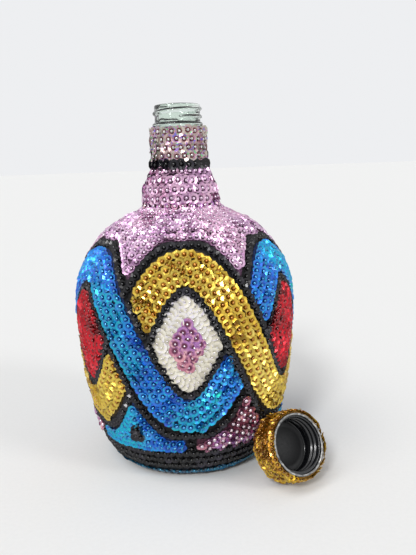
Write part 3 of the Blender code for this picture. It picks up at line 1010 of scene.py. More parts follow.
def spun(profile: Sequence[tuple[float, float]], steps: int, closed: bool) -> bmesh.types.BMesh:
    """Spins a profile round Z.

    Args:
        profile: Radius and height of each point; one that starts and ends on the axis isn't closed.
        steps: Steps in the full turn.
        closed: Whether the last point joins the first.

    Returns:
        The closed, outward-facing mesh.
    """
    form = bmesh.new()
    points = [form.verts.new((radius, 0.0, height)) for radius, height in profile]
    pairs = list(zip(points, points[1:]))
    if closed:
        pairs.append((points[-1], points[0]))
    edges = [form.edges.new(pair) for pair in pairs]
    bmesh.ops.spin(form, geom=[*points, *edges], cent=(0.0, 0.0, 0.0), axis=(0.0, 0.0, 1.0),
                   dvec=(0.0, 0.0, 0.0), angle=math.tau, steps=steps, use_merge=True, use_duplicate=False)
    bmesh.ops.remove_doubles(form, verts=form.verts, dist=MERGED)
    bmesh.ops.recalc_face_normals(form, faces=form.faces)
    for face in form.faces:
        face.smooth = True
    return form


def as_piece(name: str, form: bmesh.types.BMesh, material: bpy.types.Material,
             sharp: float = 40.0) -> bpy.types.Object:
    """Turns a bmesh into a piece.

    Args:
        name: The piece's name.
        form: The shape, which this call frees.
        material: Its finish.
        sharp: Edges over this angle, in degrees, stay crisp.

    Returns:
        The piece, not yet in the scene.
    """
    mesh = bpy.data.meshes.new(name)
    form.to_mesh(mesh)
    form.free()
    mesh.set_sharp_from_angle(angle=math.radians(sharp))
    mesh.materials.append(material)
    return bpy.data.objects.new(name, mesh)


@dataclass(frozen=True)
class Thread:
    """The ridge of a screw thread, which fades in and out at its ends."""

    pitch: float
    height: float
    width: float
    turns: float
    fade_rate: float = 8.0

    def reach(self, around: float, rise: float) -> float:
        """Returns how far the ridge stands out of the wall.

        Args:
            around: Share of a turn from where the thread starts.
            rise: Height over where the thread starts.

        Returns:
            The reach.
        """
        reach = 0.0
        for turn in range(-1, int(self.turns) + 2):
            along = around + turn
            if 0.0 <= along <= self.turns:
                fade = min(1.0, along * self.fade_rate, (self.turns - along) * self.fade_rate)
                away = abs(rise - self.pitch * along) / self.width
                reach = max(reach, fade * self.height * max(0.0, 1 - away * away))
        return reach


def raise_thread(form: bmesh.types.BMesh, thread: Thread, low: float, start: float, side: int,
                 on_wall: Callable[[float, float], bool]) -> None:
    """Raises a thread on the wall of a spun mesh.

    Args:
        form: The mesh.
        thread: The thread.
        low: The height where it starts.
        start: The angle where it starts, in degrees.
        side: 1 where it stands out of the wall, -1 where it stands in to the axis.
        on_wall: Tells by radius and height whether a vertex is on the wall.
    """
    for vertex in form.verts:
        radius = math.hypot(vertex.co.x, vertex.co.y)
        if on_wall(radius, vertex.co.z):
            share = (math.degrees(math.atan2(vertex.co.y, vertex.co.x)) - start) % 360 / 360
            scale = (radius + side * thread.reach(share, vertex.co.z - low)) / radius
            vertex.co.x *= scale
            vertex.co.y *= scale


@dataclass
class GlassBottle:
    """The glass, with the ridge of its screw finish.

    Points of the underside and of the floor inside are pairs: a share of the foot's radius, and a height
    (heel), a share of the punt's rise (punt_shares) or a drop (floor_sags). Those of the mouth are how far
    they lie out from the bore and down from the top.
    """

    form: BottleForm
    steps: int = 128
    thread: Thread = Thread(pitch=0.0042, height=0.0011, width=0.0013, turns=1.5)
    thread_low: float = 0.0019
    wall_rows: int = 36
    outline_steps: int = 60
    rim_turns: tuple[float, ...] = (0.0, 0.5, 1.0, 1.57)
    bead_turns: tuple[float, ...] = (0.3, 0.8, 1.3, 1.85, 2.35, 2.85)
    bead_bulge: float = 0.7
    bead_clearance: float = 0.001
    heel: tuple[float, float] = (0.94, 0.0008)
    punt_shares: tuple[tuple[float, float], ...] = ((0.7, 0.75), (0.35, 0.97), (0.0, 1.0))
    floor_sags: tuple[tuple[float, float], ...] = ((0.0, 0.0), (0.5, 0.0003), (0.95, 0.0004))
    least_rise: float = 0.001
    mouth_steps: tuple[tuple[float, float], ...] = ((0.0, 0.0006), (0.0004, 0.0001))
    lip_flat: float = 0.0003

    def profile(self) -> list[tuple[float, float]]:
        """Returns the section of the wall, outside first from the rim down, then inside up."""
        form = self.form
        top, neck = form.height, form.neck_top
        lip = form.finish_radius - form.rim_round
        outer = [(lip + form.rim_round * math.sin(t), top - form.rim_round * (1 - math.cos(t)))
                 for t in self.rim_turns]
        wall = evenly(outer[-1][1], neck + form.gap, self.wall_rows)
        outer += [(form.finish_radius, height) for height in wall[1:]]
        bead = form.bead_height / 2
        middle = neck - form.gap - bead
        outer += [(form.bead_radius - bead * (1 - math.sin(t)) * self.bead_bulge, middle + bead * math.cos(t))
                  for t in self.bead_turns]
        outer.append((form.neck_radius, neck - form.bead_height - form.rim_round))
        runs = evenly(0.0, form.run_at(form.cloth_top - self.bead_clearance), self.outline_steps)
        outer += [form.at(run) for run in reversed(runs)]
        foot, floor = outer[-1]
        outer.append((foot * self.heel[0], floor + self.heel[1]))
        outer += [(foot * across, floor + form.punt_rise * up) for across, up in self.punt_shares]
        rise = floor + form.punt_rise + form.base_glass
        inner = [(foot * across, rise - sag) for across, sag in self.floor_sags]
        for run in (form.runs[i] for i in range(4 * form.samples, 16 * form.samples, 6)):
            radius, height = form.at(run, -form.wall)
            if radius > form.bore_radius and height > inner[-1][1] + self.least_rise:
                inner.append((radius, height))
        inner.append((form.bore_radius, form.at(form.runs[16 * form.samples])[1]))
        inner += [(form.bore_radius + out, top - down) for out, down in self.mouth_steps]
        return [*outer, *inner, (lip - self.lip_flat, top)]

    def build(self) -> None:
        """Spins the wall and raises the thread on its finish."""
        form = spun(self.profile(), self.steps, closed=True)
        wall, foot = self.form.finish_radius - ON_WALL, self.form.neck_top + self.form.gap
        raise_thread(form, self.thread, self.form.neck_top + self.thread_low, FRONT, 1,
                     lambda radius, height: radius >= wall and height > foot)
        piece = as_piece("glass_bottle_blown", form, GlassFinish().material(), 50.0)
        show(piece, "bottle", "glass", "glass_bottle")


@dataclass
class ClothDress:
    """The cloth that carries the sequins: the sleeve, the pad under the foot and the field patches."""

    form: BottleForm
    steps: int = 96
    sleeve_start: float = 0.003
    sleeve_rows: int = 80
    pad_overlap: float = 0.0022
    patch_lift: float = 0.00002

    def patch(self, angles: Sequence[float], low: Callable[[float], float], high: Callable[[float], float],
              rows: int = 10, thickness: float = 0.0003) -> bmesh.types.BMesh:
        """Makes a thin patch between two curves on the sleeve.

        Args:
            angles: Its stations round the body.
            low, high: Its lower and upper edge by angle.
            rows: Divisions up the patch.
            thickness: How thick it is.

        Returns:
            The closed mesh.
        """
        form = bmesh.new()
        bmesh.ops.create_grid(form, x_segments=len(angles) - 1, y_segments=rows, size=0.5)
        spots: dict[bmesh.types.BMVert, tuple[float, float]] = {}
        for vertex in form.verts:
            angle = angles[round((vertex.co.x + 0.5) * (len(angles) - 1))]
            run = low(angle) + (high(angle) - low(angle)) * (vertex.co.y + 0.5)
            spots[vertex] = (angle, run)
            vertex.co = self.form.place(angle, run, self.form.cloth_outer + self.patch_lift)
        lower = list(form.verts)
        skin = bmesh.ops.extrude_face_region(form, geom=form.faces[:], use_keep_orig=True)
        raised = {tuple(round(c, 7) for c in vertex.co): vertex
                  for vertex in (g for g in skin["geom"] if isinstance(g, bmesh.types.BMVert))}
        for vertex in lower:
            angle, run = spots[vertex]
            twin = raised[tuple(round(c, 7) for c in vertex.co)]
            twin.co = self.form.place(angle, run, self.form.cloth_outer + thickness)
        bmesh.ops.remove_doubles(form, verts=form.verts, dist=2 * MERGED)
        bmesh.ops.recalc_face_normals(form, faces=form.faces)
        for face in form.faces:
            face.smooth = True
        return form

    def build(self) -> None:
        """Makes the sleeve and the pad."""
        top = self.form.run_at(self.form.cloth_top)
        runs = evenly(self.sleeve_start, top, self.sleeve_rows)
        profile = [self.form.at(run, self.form.cloth_outer) for run in reversed(runs)]
        profile += [self.form.at(run, self.form.gap) for run in runs]
        black = ClothFinish("black_sleeve_cloth", linear(16, 15, 18)).material()
        piece = as_piece("cloth_sleeve_sewn", spun(profile, self.steps, closed=True), black)
        show(piece, "bottle", "cloth", "cloth_sleeve")
        area = sum(math.tau * self.form.at((a + b) / 2)[0] * (b - a) for a, b in zip(runs, runs[1:]))
        radius = self.form.points[0][0] + self.pad_overlap
        edge = self.form.pad / 3
        pad = [(0.0, self.form.pad), (radius - edge, self.form.pad), (radius, self.form.pad - edge),
               (radius, edge), (radius - edge, 0.0), (0.0, 0.0)]
        piece = as_piece("base_pad_felted", spun(pad, self.steps, closed=False), black)
        show(piece, "bottle", "cloth", "base_pad")


@dataclass
class BodyEmbroidery:
    """The sequined fields of the body, their outlines, the yoke, the neck's rows and the foot's."""

    form: BottleForm
    interlace: Interlace
    cloth: ClothDress
    palette: Palette
    pitch: float = 0.0037
    row_pitch: float = 0.0044
    margin: float = 0.0021
    edge_slack: float = 0.0003
    fill_margin: float = 0.0009
    fill_row_share: float = 0.25
    fill_lift: float = 0.0009
    front_share: float = 0.01
    least: float = 0.0027
    band_least: float = 0.0026
    close_least: float = 0.0024
    ring_least: float = 0.0015
    band_rows: int = 4
    band_margin: float = 0.0014
    eye_rows: int = 8
    pearl_row_share: float = 0.8
    pearl_pitch_share: float = 0.76
    pearl_fill_rows: float = 3.4
    pearl_tilt: float = 7.0
    pearl_unevenness: float = 0.3
    eye_lift: float = 0.0005
    corner_lift: float = 0.0010
    rose_unevenness: float = 1.7
    corner_strings: int = 15
    corner_string_step: float = 4.0
    slim_margin: float = 0.0008
    black_margin: float = 0.0012
    black_tilt: float = 12.0
    outline_pitch_share: float = 0.9
    gap_pitch_share: float = 0.6
    gap_row_share: float = 0.3
    gap_margin: float = 0.0011
    close_pitch_share: float = 0.85
    yoke_row_share: float = 0.7
    yoke_inset: float = 0.0016
    yoke_tilt: float = 9.0
    yoke_unevenness: float = 1.6
    loop_count: int = 3
    loop_inset: float = 0.0015
    loop_pitch: float = 0.0029
    ring_half: float = 0.0021
    foot_drop: float = 0.0027
    field_stations: int = 72
    corner_stations: int = 60
    yoke_stations: int = 144
    patch_samples: int = 60

    def seats(self, stitches: Sequence[Stitch], middle: float | None = None) -> list[tuple[Matrix, int]]:
        """Turns places on the body into frames, whose sequins lean towards the front.

        Args:
            stitches: The places.
            middle: The angle at the middle of a piece that leans one way, or None where each leans by itself.

        Returns:
            Each sequin's frame and its colour among the piece's.
        """
        seats = []
        for stitch in stitches:
            side = math.cos(math.radians(stitch.angle if middle is None else middle))
            turned = math.pi if side < -self.front_share else 0.0
            seats.append((self.form.seat_at(stitch.angle, stitch.run, stitch.heading + turned), stitch.layer))
        return seats

    def level(self, rows: Rows, first: float, last: float, step: float, span: tuple[float, float],
              pitch: float, depth: Depth, margin: float, layer: Layer = 0,
              staggered: bool = True, closed: bool = False) -> None:
        """Lays level strings one above or below the other.

        Args:
            rows: Takes the strings.
            first, last: The run of the first string, and the run at which they stop.
            step: From string to string, negative downwards.
            span: The angles between which they run.
            pitch: Spacing of the sequins.
            depth, margin, layer, closed: As in Rows.lay.
            staggered: Whether every other string starts half a pitch late.
        """
        run, number = first, 0
        while (run < last) if step > 0 else (run > last):
            rows.lay(lambda a, r=run: (a, r), *span, pitch, depth, margin, layer,
                     (number % 2) / 2 if staggered else 0.0, closed)
            run += step
            number += 1

    def bands(self, wave: Wave, tone: Tone, slot: str, first: float) -> None:
        """Sews one band: rows along its line, in pieces that dip under the other band.

        Args:
            wave: The wave that the band follows.
            tone: Its colour.
            slot: Its material slot.
            first: The angle where its first piece starts.
        """
        lace = self.interlace
        for index in range(lace.count):
            start = first + 360 / lace.count * index
            end = start + 360 / lace.count
            depth = lace.band(wave, start)
            rows = Rows(self.form, self.band_least)
            for row in range(self.band_rows):
                offset = (row - (self.band_rows - 1) / 2) * self.row_pitch
                rows.lay(lambda a, o=offset: (a, lace.line(a, wave, o)), start, end, self.pitch, depth,
                         self.band_margin, shift=(row % 2) / 2)
            self.fill(rows, depth, (start, end), self.fill_margin)
            patch = self.patch(evenly(start, end, self.field_stations), depth,
                               lambda a: lace.line(a, wave, -lace.half_band),
                               lambda a: lace.line(a, wave, lace.half_band))
            self.sew(f"{tone.value}_band_{index + 1}", slot, (tone,), rows, start + 180 / lace.count, patch)

    def patch(self, stations: Sequence[float], depth: Depth, low: Callable[[float], float],
              high: Callable[[float], float]) -> bmesh.types.BMesh | None:
        """Makes the cloth of a field from the stations that lie in it.

        Args:
            stations: Angles across the field.
            depth: How deep a place lies in the field.
            low, high: Curves by angle, between which the field lies.

        Returns:
            The cloth, or None where the field is too narrow for one.
        """
        limits: dict[float, tuple[float, float]] = {}
        for angle in stations:
            bottom, top = low(angle), high(angle)
            kept = [run for run in evenly(bottom, top, self.patch_samples) if depth(angle, run) >= -ON_WALL]
            if len(kept) >= 3:
                limits[angle] = (kept[0], kept[-1])
        if len(limits) < 3:
            return None
        return self.cloth.patch(list(limits), lambda a: limits[a][0], lambda a: limits[a][1])

    def sew(self, node: str, slot: str, tones: tuple[Tone, ...], rows: Rows, middle: float,
            patch: bmesh.types.BMesh | None, **spread: float) -> None:
        """Sews one field of the body.

        Args:
            node: Its CAD node.
            slot: Its material slot.
            tones: Its colours.
            rows: Its sequins' places.
            middle: The angle at its middle, which sets the side to which it leans.
            patch: The cloth under it.
            spread: The tilt, unevenness or upper_lift of its SewnPiece, where not the usual one.
        """
        piece = SewnPiece(f"{node}_sewn", node, slot, tones, PATTERNS[tones[0]], **spread)
        piece.build(self.seats(rows.stitches, middle), self.palette, patch)

    def fill(self, rows: Rows, depth: Depth, span: tuple[float, float], margin: float,
             layer: Layer = 0) -> None:
        """Fills what the rows left bare with close level strings.

        Args:
            rows: The rows laid so far.
            depth, margin: How deep a place lies in the field, and the least depth that a sequin needs.
            span: The angles between which the field lies.
            layer: The colour among the piece's, or a function of angle and run that gives it. With a
                function the strings start over the base line, without one at the foot.
        """
        lace = self.interlace
        first = lace.base_line + self.fill_lift if callable(layer) else lace.foot_line
        self.level(rows, first, self.form.yoke_top, self.row_pitch * self.fill_row_share, span,
                   self.pitch / 2, depth, margin, layer)

    def eyes(self, upper: Wave, name: str, slot: str, tones: tuple[Tone, ...],
             colour: Callable[[int], int]) -> None:
        """Sews the pointed ovals, in rows that follow their edges.

        Args:
            upper: The wave above them.
            name: The start of their nodes' names.
            slot: Their material slot.
            tones: Their colours.
            colour: Gives the colour of each row, from the edge inwards.
        """
        lace = self.interlace
        lower = Wave(-upper.value)
        depth = lace.eye(upper)
        turn = 360 / lace.count
        shift = 0.0 if upper is Wave.GOLD else turn / 2
        for index in range(lace.count):
            middle = FRONT + shift + turn * index
            start, end = middle - turn / 4, middle + turn / 4
            flat = tones[0] is Tone.PEARL
            rows = Rows(self.form, self.least)
            rise = self.row_pitch * (self.pearl_row_share if flat else 1.0)
            for row in range(self.eye_rows):
                inset = self.margin + rise * row
                pitch = self.pitch * (self.pearl_pitch_share if colour(row) == 0 and flat else 1.0)
                for wave, side in ((upper, -1), (lower, 1)):
                    rows.lay(lambda a, w=wave, s=side, i=inset: (a, lace.line(a, w, s * (lace.edge + i))),
                             start, end, pitch, depth, inset - self.edge_slack, colour(row),
                             (row % 2) / 2)
            self.fill(rows, depth, (start, end), self.pearl_fill_rows * rise if flat else self.fill_margin,
                      lambda a, r: colour(int(max(0.0, depth(a, r) - self.margin + rise / 2) / rise)))
            patch = self.patch(evenly(start, end, self.field_stations), depth,
                               lambda a: lace.line(a, lower, lace.edge),
                               lambda a: lace.line(a, upper, -lace.edge))
            lean = {"tilt": self.pearl_tilt, "unevenness": self.pearl_unevenness} if flat else {}
            self.sew(f"{name}_{index + 1}", slot, tones, rows, middle, patch, upper_lift=self.eye_lift,
                     **lean)

    def corners(self, middles: Sequence[float], name: str, slot: str, tones: tuple[Tone, ...]) -> None:
        """Sews the fields below the crossings, in upright strings or in nested loops.

        Args:
            middles: The angle at the middle of each.
            name: The start of their nodes' names.
            slot: Their material slot.
            tones: Their colours: one for upright strings, two for loops.
        """
        lace = self.interlace
        half = 90 / lace.count
        for index, middle in enumerate(middles):
            depth = lace.corner(middle)
            start, end = middle - half, middle + half
            rows = Rows(self.form, self.band_least if len(tones) == 1 else self.close_least)
            if len(tones) == 1:
                for string in range(self.corner_strings):
                    angle = middle + (string - self.corner_strings // 2) * self.corner_string_step
                    rows.lay(lambda r, a=angle: (a, r), lace.base_line, lace.centre, self.pitch, depth,
                             self.slim_margin, 0, (string % 2) / 2)
                self.fill(rows, depth, (start, end), self.slim_margin)
            else:
                self.loops(rows, depth, start, end)
            patch = self.patch(evenly(start, end, self.corner_stations), depth, lambda a: lace.base_line,
                               lambda a: min(lace.line(a, w, -lace.edge) for w in Wave))
            self.sew(f"{name}_{index + 1}", slot, tones, rows, middle, patch, upper_lift=self.corner_lift,
                     unevenness=self.rose_unevenness if tones[0] is Tone.ROSE else 1.0)

    def loops(self, rows: Rows, depth: Depth, start: float, end: float) -> None:
        """Lays nested loops that follow the edges of a corner, the innermost one dark."""
        lace = self.interlace
        for loop in range(self.loop_count):
            inset = self.loop_inset + loop * self.loop_pitch
            tone = self.loop_tone(inset)
            for path in (lambda a, i=inset: (a, lace.base_line + i),
                         lambda a, i=inset: (a, min(lace.line(a, w, -lace.edge - i) for w in Wave))):
                rows.lay(path, start, end, self.pitch * self.close_pitch_share, depth,
                         inset - self.edge_slack, tone)
        self.fill(rows, depth, (start, end), self.fill_margin, lambda a, r: self.loop_tone(depth(a, r)))

    def loop_tone(self, deep: float) -> int:
        """Returns the colour of the loop that passes at a depth."""
        return int(round((deep - self.loop_inset) / self.loop_pitch) >= self.loop_count - 1)

    def outlines(self) -> None:
        """Sews the black rows between the fields and down to the foot."""
        lace = self.interlace
        fields: list[Depth] = [lace.eye(Wave.GOLD), lace.eye(Wave.BLUE), lace.above]
        pitch = 360 / lace.count
        quarter = pitch / 4
        middles = [FRONT + pitch / 4 + pitch / 2 * i for i in range(2 * lace.count)]

        def depth(angle: float, run: float) -> float:
            """Returns how deep a place lies in the outlines."""
            turn = (angle - FRONT + quarter) % 360 + FRONT - quarter
            near = [f(angle, run) for f in fields]
            for k in range(lace.count):
                near.append(lace.band(Wave.GOLD, FRONT - quarter + pitch * k)(turn, run))
                for shift in (0.0, 360.0):
                    near.append(lace.band(Wave.BLUE, FRONT + quarter + pitch * k - shift)(turn, run))
            for middle in middles:
                gap = (angle - middle + 180) % 360 - 180
                if abs(gap) <= quarter:
                    near.append(lace.corner(middle)(middle + gap, run))
            return min(-max(near), run - lace.foot_line)
        rows = Rows(self.form, self.least)
        for wave in Wave:
            for side in (1, -1):
                offset = side * (lace.half_band + lace.outline / 2)
                rows.lay(lambda a, w=wave, o=offset: (a, lace.line(a, w, o)),
                         *ALL_ROUND, self.pitch * self.outline_pitch_share, depth, self.black_margin,
                         closed=True)
        for index in range(2 * lace.count):
            angle = FRONT + pitch / 2 * index
            rows.lay(lambda r, a=angle: (a, r), lace.base_line, lace.centre, self.pitch, depth,
                     self.black_margin)
        self.level(rows, lace.base_line - self.row_pitch / 2, lace.foot_line + self.black_margin,
                   -self.row_pitch, ALL_ROUND, self.pitch, depth, self.black_margin, closed=True)
        self.level(rows, lace.base_line, self.form.yoke_top, self.row_pitch * self.gap_row_share, ALL_ROUND,
                   self.pitch * self.gap_pitch_share, depth, self.gap_margin, staggered=False, closed=True)
        piece = SewnPiece("black_outlines_sewn", "black_outlines", "black_sequins", (Tone.BLACK,),
                          OUTLINE_PATTERN, self.black_tilt)
        piece.build(self.seats(rows.stitches), self.palette)

    def yoke(self) -> None:
        """Sews the shoulder: one row along its scalloped edge, then level rows up to the groove."""
        lace = self.interlace

        def depth(angle: float, run: float) -> float:
            """Returns how deep a place lies in the yoke."""
            return min(lace.above(angle, run), self.form.yoke_top - run)
        rows = Rows(self.form, self.close_least)
        pitch = self.pitch * self.close_pitch_share
        rows.lay(lambda a: (a, lace.yoke_edge(a, self.yoke_inset)), *ALL_ROUND, pitch, depth,
                 self.slim_margin, closed=True)
        self.level(rows, self.form.yoke_top - self.margin, lace.centre,
                   -self.row_pitch * self.yoke_row_share, ALL_ROUND, pitch, depth, self.black_margin,
                   closed=True)
        stations = evenly(*ALL_ROUND, self.yoke_stations)
        patch = self.cloth.patch(stations, lambda a: lace.yoke_edge(a, 0.0), lambda a: self.form.yoke_top, 12)
        piece = SewnPiece("lilac_yoke_sewn", "lilac_yoke", "lilac_sequins", (Tone.LILAC,),
                          PATTERNS[Tone.LILAC], self.yoke_tilt, self.yoke_unevenness)
        piece.build(self.seats(rows.stitches), self.palette, patch)

    def ring(self, kind: LevelRows, run: float, number: int = 0) -> None:
        """Sews one level row round the neck or the foot.

        Args:
            kind: What it is sewn of.
            run: Where it lies.
            number: Its number among the rows of its kind, or 0 where it is the only one.
        """
        node = f"{kind.name}_{number}" if number else kind.name
        rows = Rows(self.form, self.ring_least)
        rows.lay(lambda a: (a, run), *ALL_ROUND, kind.pitch, lambda a, r: 1.0, 0.0,
                 shift=0.0 if number % 2 or not number else 0.5, closed=True)
        piece = SewnPiece(f"{node}_sewn", node, kind.slot, (kind.tone,), kind.pattern, kind.tilt,
                          kind.unevenness)
        stations = evenly(*ALL_ROUND, self.field_stations)
        band = self.cloth.patch(stations, lambda a: run - self.ring_half, lambda a: run + self.ring_half, 2)
        piece.build(self.seats(rows.stitches, FRONT), self.palette, band)

    def neck(self) -> None:
        """Sews the rows of the neck from the top of the cloth down."""
        form = self.form
        height = form.cloth_top
        for kind, count, drop in ((COLLAR, form.collar_rows, form.collar_pitch),
                                  (NECK_BLACK, 1, form.black_pitch),
                                  (ROLL, form.roll_rows, form.roll_pitch),
                                  (GROOVE, 1, form.groove_pitch)):
            for index in range(count):
                self.ring(kind, form.run_at(height - drop / 2), index + 1 if count > 1 else 0)
                height -= drop

    def build(self) -> None:
        """Sews every field of the body."""
        pitch = 360 / self.interlace.count
        quarter = pitch / 4
        self.bands(Wave.GOLD, Tone.GOLD, "gold_sequins", FRONT - quarter)
        self.bands(Wave.BLUE, Tone.BLUE, "blue_sequins", FRONT + quarter)
        self.eyes(Wave.GOLD, "white_eye", "pearl_sequins", (Tone.PEARL, Tone.ROSE), lambda row: int(row > 2))
        self.eyes(Wave.BLUE, "red_eye", "red_sequins", (Tone.RED,), lambda row: 0)
        firsts = [FRONT + quarter + pitch * k for k in range(self.interlace.count)]
        self.corners(firsts, "lilac_corner", "lilac_sequins", (Tone.ROSE,))
        self.corners([a + pitch / 2 for a in firsts], "blue_corner", "blue_sequins", (Tone.BLUE, Tone.BLACK))
        self.outlines()
        self.yoke()
        self.neck()
        self.ring(FOOT, self.interlace.foot_line - self.foot_drop)


@dataclass
class Cap:
    """The loose screw cap, made upright round its axis and then laid by the bottle.

    dent_waves holds the count round the rim, the phase and the strength of each wave of its dents.
    """

    palette: Palette
    depth: float = 0.0142
    end_wall: float = 0.0014
    bore: float = 0.0139
    insert: float = 0.0150
    shell_wall: float = 0.0005
    rim_width: float = 0.0013
    rim_height: float = 0.0008
    cloth: float = 0.0006
    gap: float = 0.0003
    liner: float = 0.0009
    heading: float = -56.6
    lean: float = 26.4
    mouth: tuple[float, float, float] = (0.05512, -0.0586, 0.0232)
    steps: int = 96
    thread: Thread = Thread(pitch=0.0030, height=0.0009, width=0.0009, turns=2.9)
    thread_low: float = 0.0026
    wall_rows: int = 44
    side_rows: int = 3
    half_row_count: int = 42
    end_rings: int = 4
    end_ring_first: float = 0.0018
    end_ring_step: float = 0.0042
    end_pitch: float = 0.0038
    side_tilt: float = 13.0
    side_unevenness: float = 2.0
    end_tilt: float = 4.0
    end_unevenness: float = 0.4
    lip_lean: float = 0.45
    row_lead: float = 0.04
    sequin_stand: float = 0.0001
    edge_round: float = 0.0002
    corner_round: float = 0.0003
    cloth_round: float = 0.0004
    floor_round: float = 0.0005
    wall_start: float = 0.0006
    liner_ring: tuple[float, float, float, float] = (0.0034, 0.0030, 0.0012, 0.0008)
    liner_groove: float = 0.0003
    roll_turns: tuple[float, ...] = (-1.9, -1.57, -1.2, -0.8, -0.4, 0.0, 0.4, 0.8, 1.2, 1.57, 1.9)
    dent: float = 0.00012
    dent_waves: tuple[tuple[int, float, float], ...] = ((9, 0.0, 1.0), (23, 1.0, 1.0), (41, 0.0, 0.7))

    @property
    def place(self) -> Matrix:
        """Returns the cap's frame: its origin at the mouth and z out of it."""
        heading, lean = math.radians(self.heading), math.radians(self.lean)
        level = Vector((math.cos(heading), math.sin(heading), 0.0))
        axis = level * math.cos(lean) + Vector((0.0, 0.0, math.sin(lean)))
        side = Vector((-math.sin(heading), math.cos(heading), 0.0))
        matrix = Matrix((side, axis.cross(side), axis)).transposed().to_4x4()
        matrix.translation = Vector(self.mouth)
        return matrix

    def settle(self, name: str, form: bmesh.types.BMesh, material: bpy.types.Material, body: str, slot: str,
               *nodes: str, sharp: float = 40.0) -> None:
        """Lays a piece of the cap in its place and shows it."""
        form.transform(self.place)
        show(as_piece(name, form, material, sharp), body, slot, *nodes)

    def threaded_insert(self) -> None:
        """Makes the black lining with its inner thread."""
        mouth = -self.rim_height - self.gap
        seat = -self.depth + self.end_wall
        walls = [(self.bore, height) for height in evenly(seat + self.wall_start, mouth, self.wall_rows)]
        walls[-1] = (self.bore, mouth - self.corner_round)
        profile = [(self.insert - self.edge_round, mouth), (self.insert, mouth - self.edge_round),
                   (self.insert, -self.depth), (0.0, -self.depth), (0.0, seat),
                   (self.bore - self.floor_round, seat), *walls, (self.bore + self.corner_round, mouth)]
        form = spun(profile, self.steps, closed=True)
        raise_thread(form, self.thread, seat + self.thread_low, 0.0, -1,
                     lambda radius, height: abs(radius - self.bore) <= ON_WALL)
        self.settle("cap_insert_moulded", form, PlasticFinish("black_cap_plastic", linear(20, 21, 24), 0.2)
                    .material(), "cap", "black_plastic", "cap_insert", sharp=60.0)

    def sealing_liner(self) -> None:
        """Makes the sealing disc on the cap's floor, with its pressed ring."""
        low = -self.depth + self.end_wall + self.gap
        top = low + self.liner
        edge = self.bore - self.gap - self.thread.height
        groove = top - self.liner_groove
        ring = zip(self.liner_ring, (top, groove, groove, top))
        profile = [(0.0, top), *((edge - inset, height) for inset, height in ring),
                   (edge - self.edge_round, top), (edge, top - self.edge_round), (edge, low), (0.0, low)]
        form = spun(profile, self.steps, closed=False)
        self.settle("cap_liner_pressed", form, PlasticFinish("dark_liner_foam", linear(15, 16, 18), 0.6, 0.0)
                    .material(), "liner", "liner", "cap_liner")

    def rolled_shell(self) -> None:
        """Makes the metal shell, with its rim rolled round the lining and dented a little."""
        inner = self.insert + self.gap
        outer = inner + self.shell_wall
        rim_in = inner - 2 * self.gap
        rim_out = rim_in + self.rim_width
        mouth = -self.rim_height
        close = -self.depth - self.gap
        roll = self.rim_height / 2
        middle = (rim_in + rim_out) / 2
        crest = [(middle + (rim_out - middle) * math.sin(t), -roll + roll * math.cos(t))
                 for t in self.roll_turns]
        back = close - self.shell_wall
        profile = [*crest, (outer, mouth), (outer, back + self.corner_round),
                   (outer - self.corner_round, back), (0.0, back), (0.0, close), (inner, close),
                   (inner, mouth)]
        form = spun(profile, self.steps, closed=True)
        for vertex in form.verts:
            if vertex.co.z > mouth:
                turn = math.atan2(vertex.co.y, vertex.co.x)
                wave = self.dent * sum(strength * math.sin(count * turn + phase)
                                       for count, phase, strength in self.dent_waves)
                vertex.co.z += wave * (vertex.co.z - mouth) / self.rim_height
        self.settle("cap_shell_rolled", form, AluminiumFinish().material(), "cap", "aluminium", "cap_shell",
                    sharp=60.0)

    def cover(self) -> None:
        """Makes the cloth over the shell and sews its sequins."""
        shell = self.insert + self.gap + self.shell_wall
        inner, outer = shell + self.gap, shell + self.gap + self.cloth
        mouth = -self.rim_height - self.gap
        close = -self.depth - 2 * self.gap - self.shell_wall
        floor = close - self.cloth
        profile = [(outer, mouth), (outer, floor + self.cloth_round), (outer - self.cloth_round, floor),
                   (0.0, floor), (0.0, close), (inner, close), (inner, mouth)]
        form = spun(profile, self.steps, closed=True)
        self.settle("cap_cloth_glued", form, ClothFinish("golden_cap_cloth", linear(178, 128, 40)).material(),
                    "cap", "gold_cloth", "cap_cloth")
        pitch = (mouth - (floor - self.gap)) / self.side_rows
        stand = Matrix(((0, 0, 1), (1, 0, 0), (0, 1, 0))).to_4x4()
        for index in range(self.side_rows):
            seats: list[tuple[Matrix, int]] = []
            for half in range(2):
                first = index == half == 0
                height = mouth - pitch * (index + self.row_lead + half / 2)
                lip = Matrix.Rotation(-self.lip_lean if first else 0.0, 4, "X")
                for step in range(self.half_row_count):
                    turn = math.tau * (step + half / 2) / self.half_row_count
                    out = Matrix.Translation((outer + self.sequin_stand, 0.0, height))
                    spin = Matrix.Rotation(turn, 4, "Z") @ out
                    seats.append((self.place @ spin @ stand @ lip, 0))
            piece = SewnPiece(f"cap_side_row_{index + 1}_sewn", f"cap_side_row_{index + 1}", "amber_sequins",
                              (Tone.AMBER,), CAP_SIDE_PATTERN, self.side_tilt, self.side_unevenness, "cap")
            piece.build(seats, self.palette)
        seats = []
        flip = Matrix(((1, 0, 0), (0, -1, 0), (0, 0, -1))).to_4x4()
        for ring in range(self.end_rings):
            radius = self.end_ring_first + self.end_ring_step * ring
            count = max(3, round(math.tau * radius / self.end_pitch))
            for step in range(count):
                turn = math.tau * (step + ring / 2) / count
                spin = Matrix.Rotation(turn, 4, "Z") @ Matrix.Translation((radius, 0.0, floor))
                seats.append((self.place @ spin @ flip @ Matrix.Rotation(math.pi / 2, 4, "Z"), 0))
        piece = SewnPiece("cap_top_sewn", "cap_top_sequins", "amber_sequins", (Tone.AMBER,), CAP_END_PATTERN,
                          self.end_tilt, self.end_unevenness, "cap")
        piece.build(seats, self.palette)

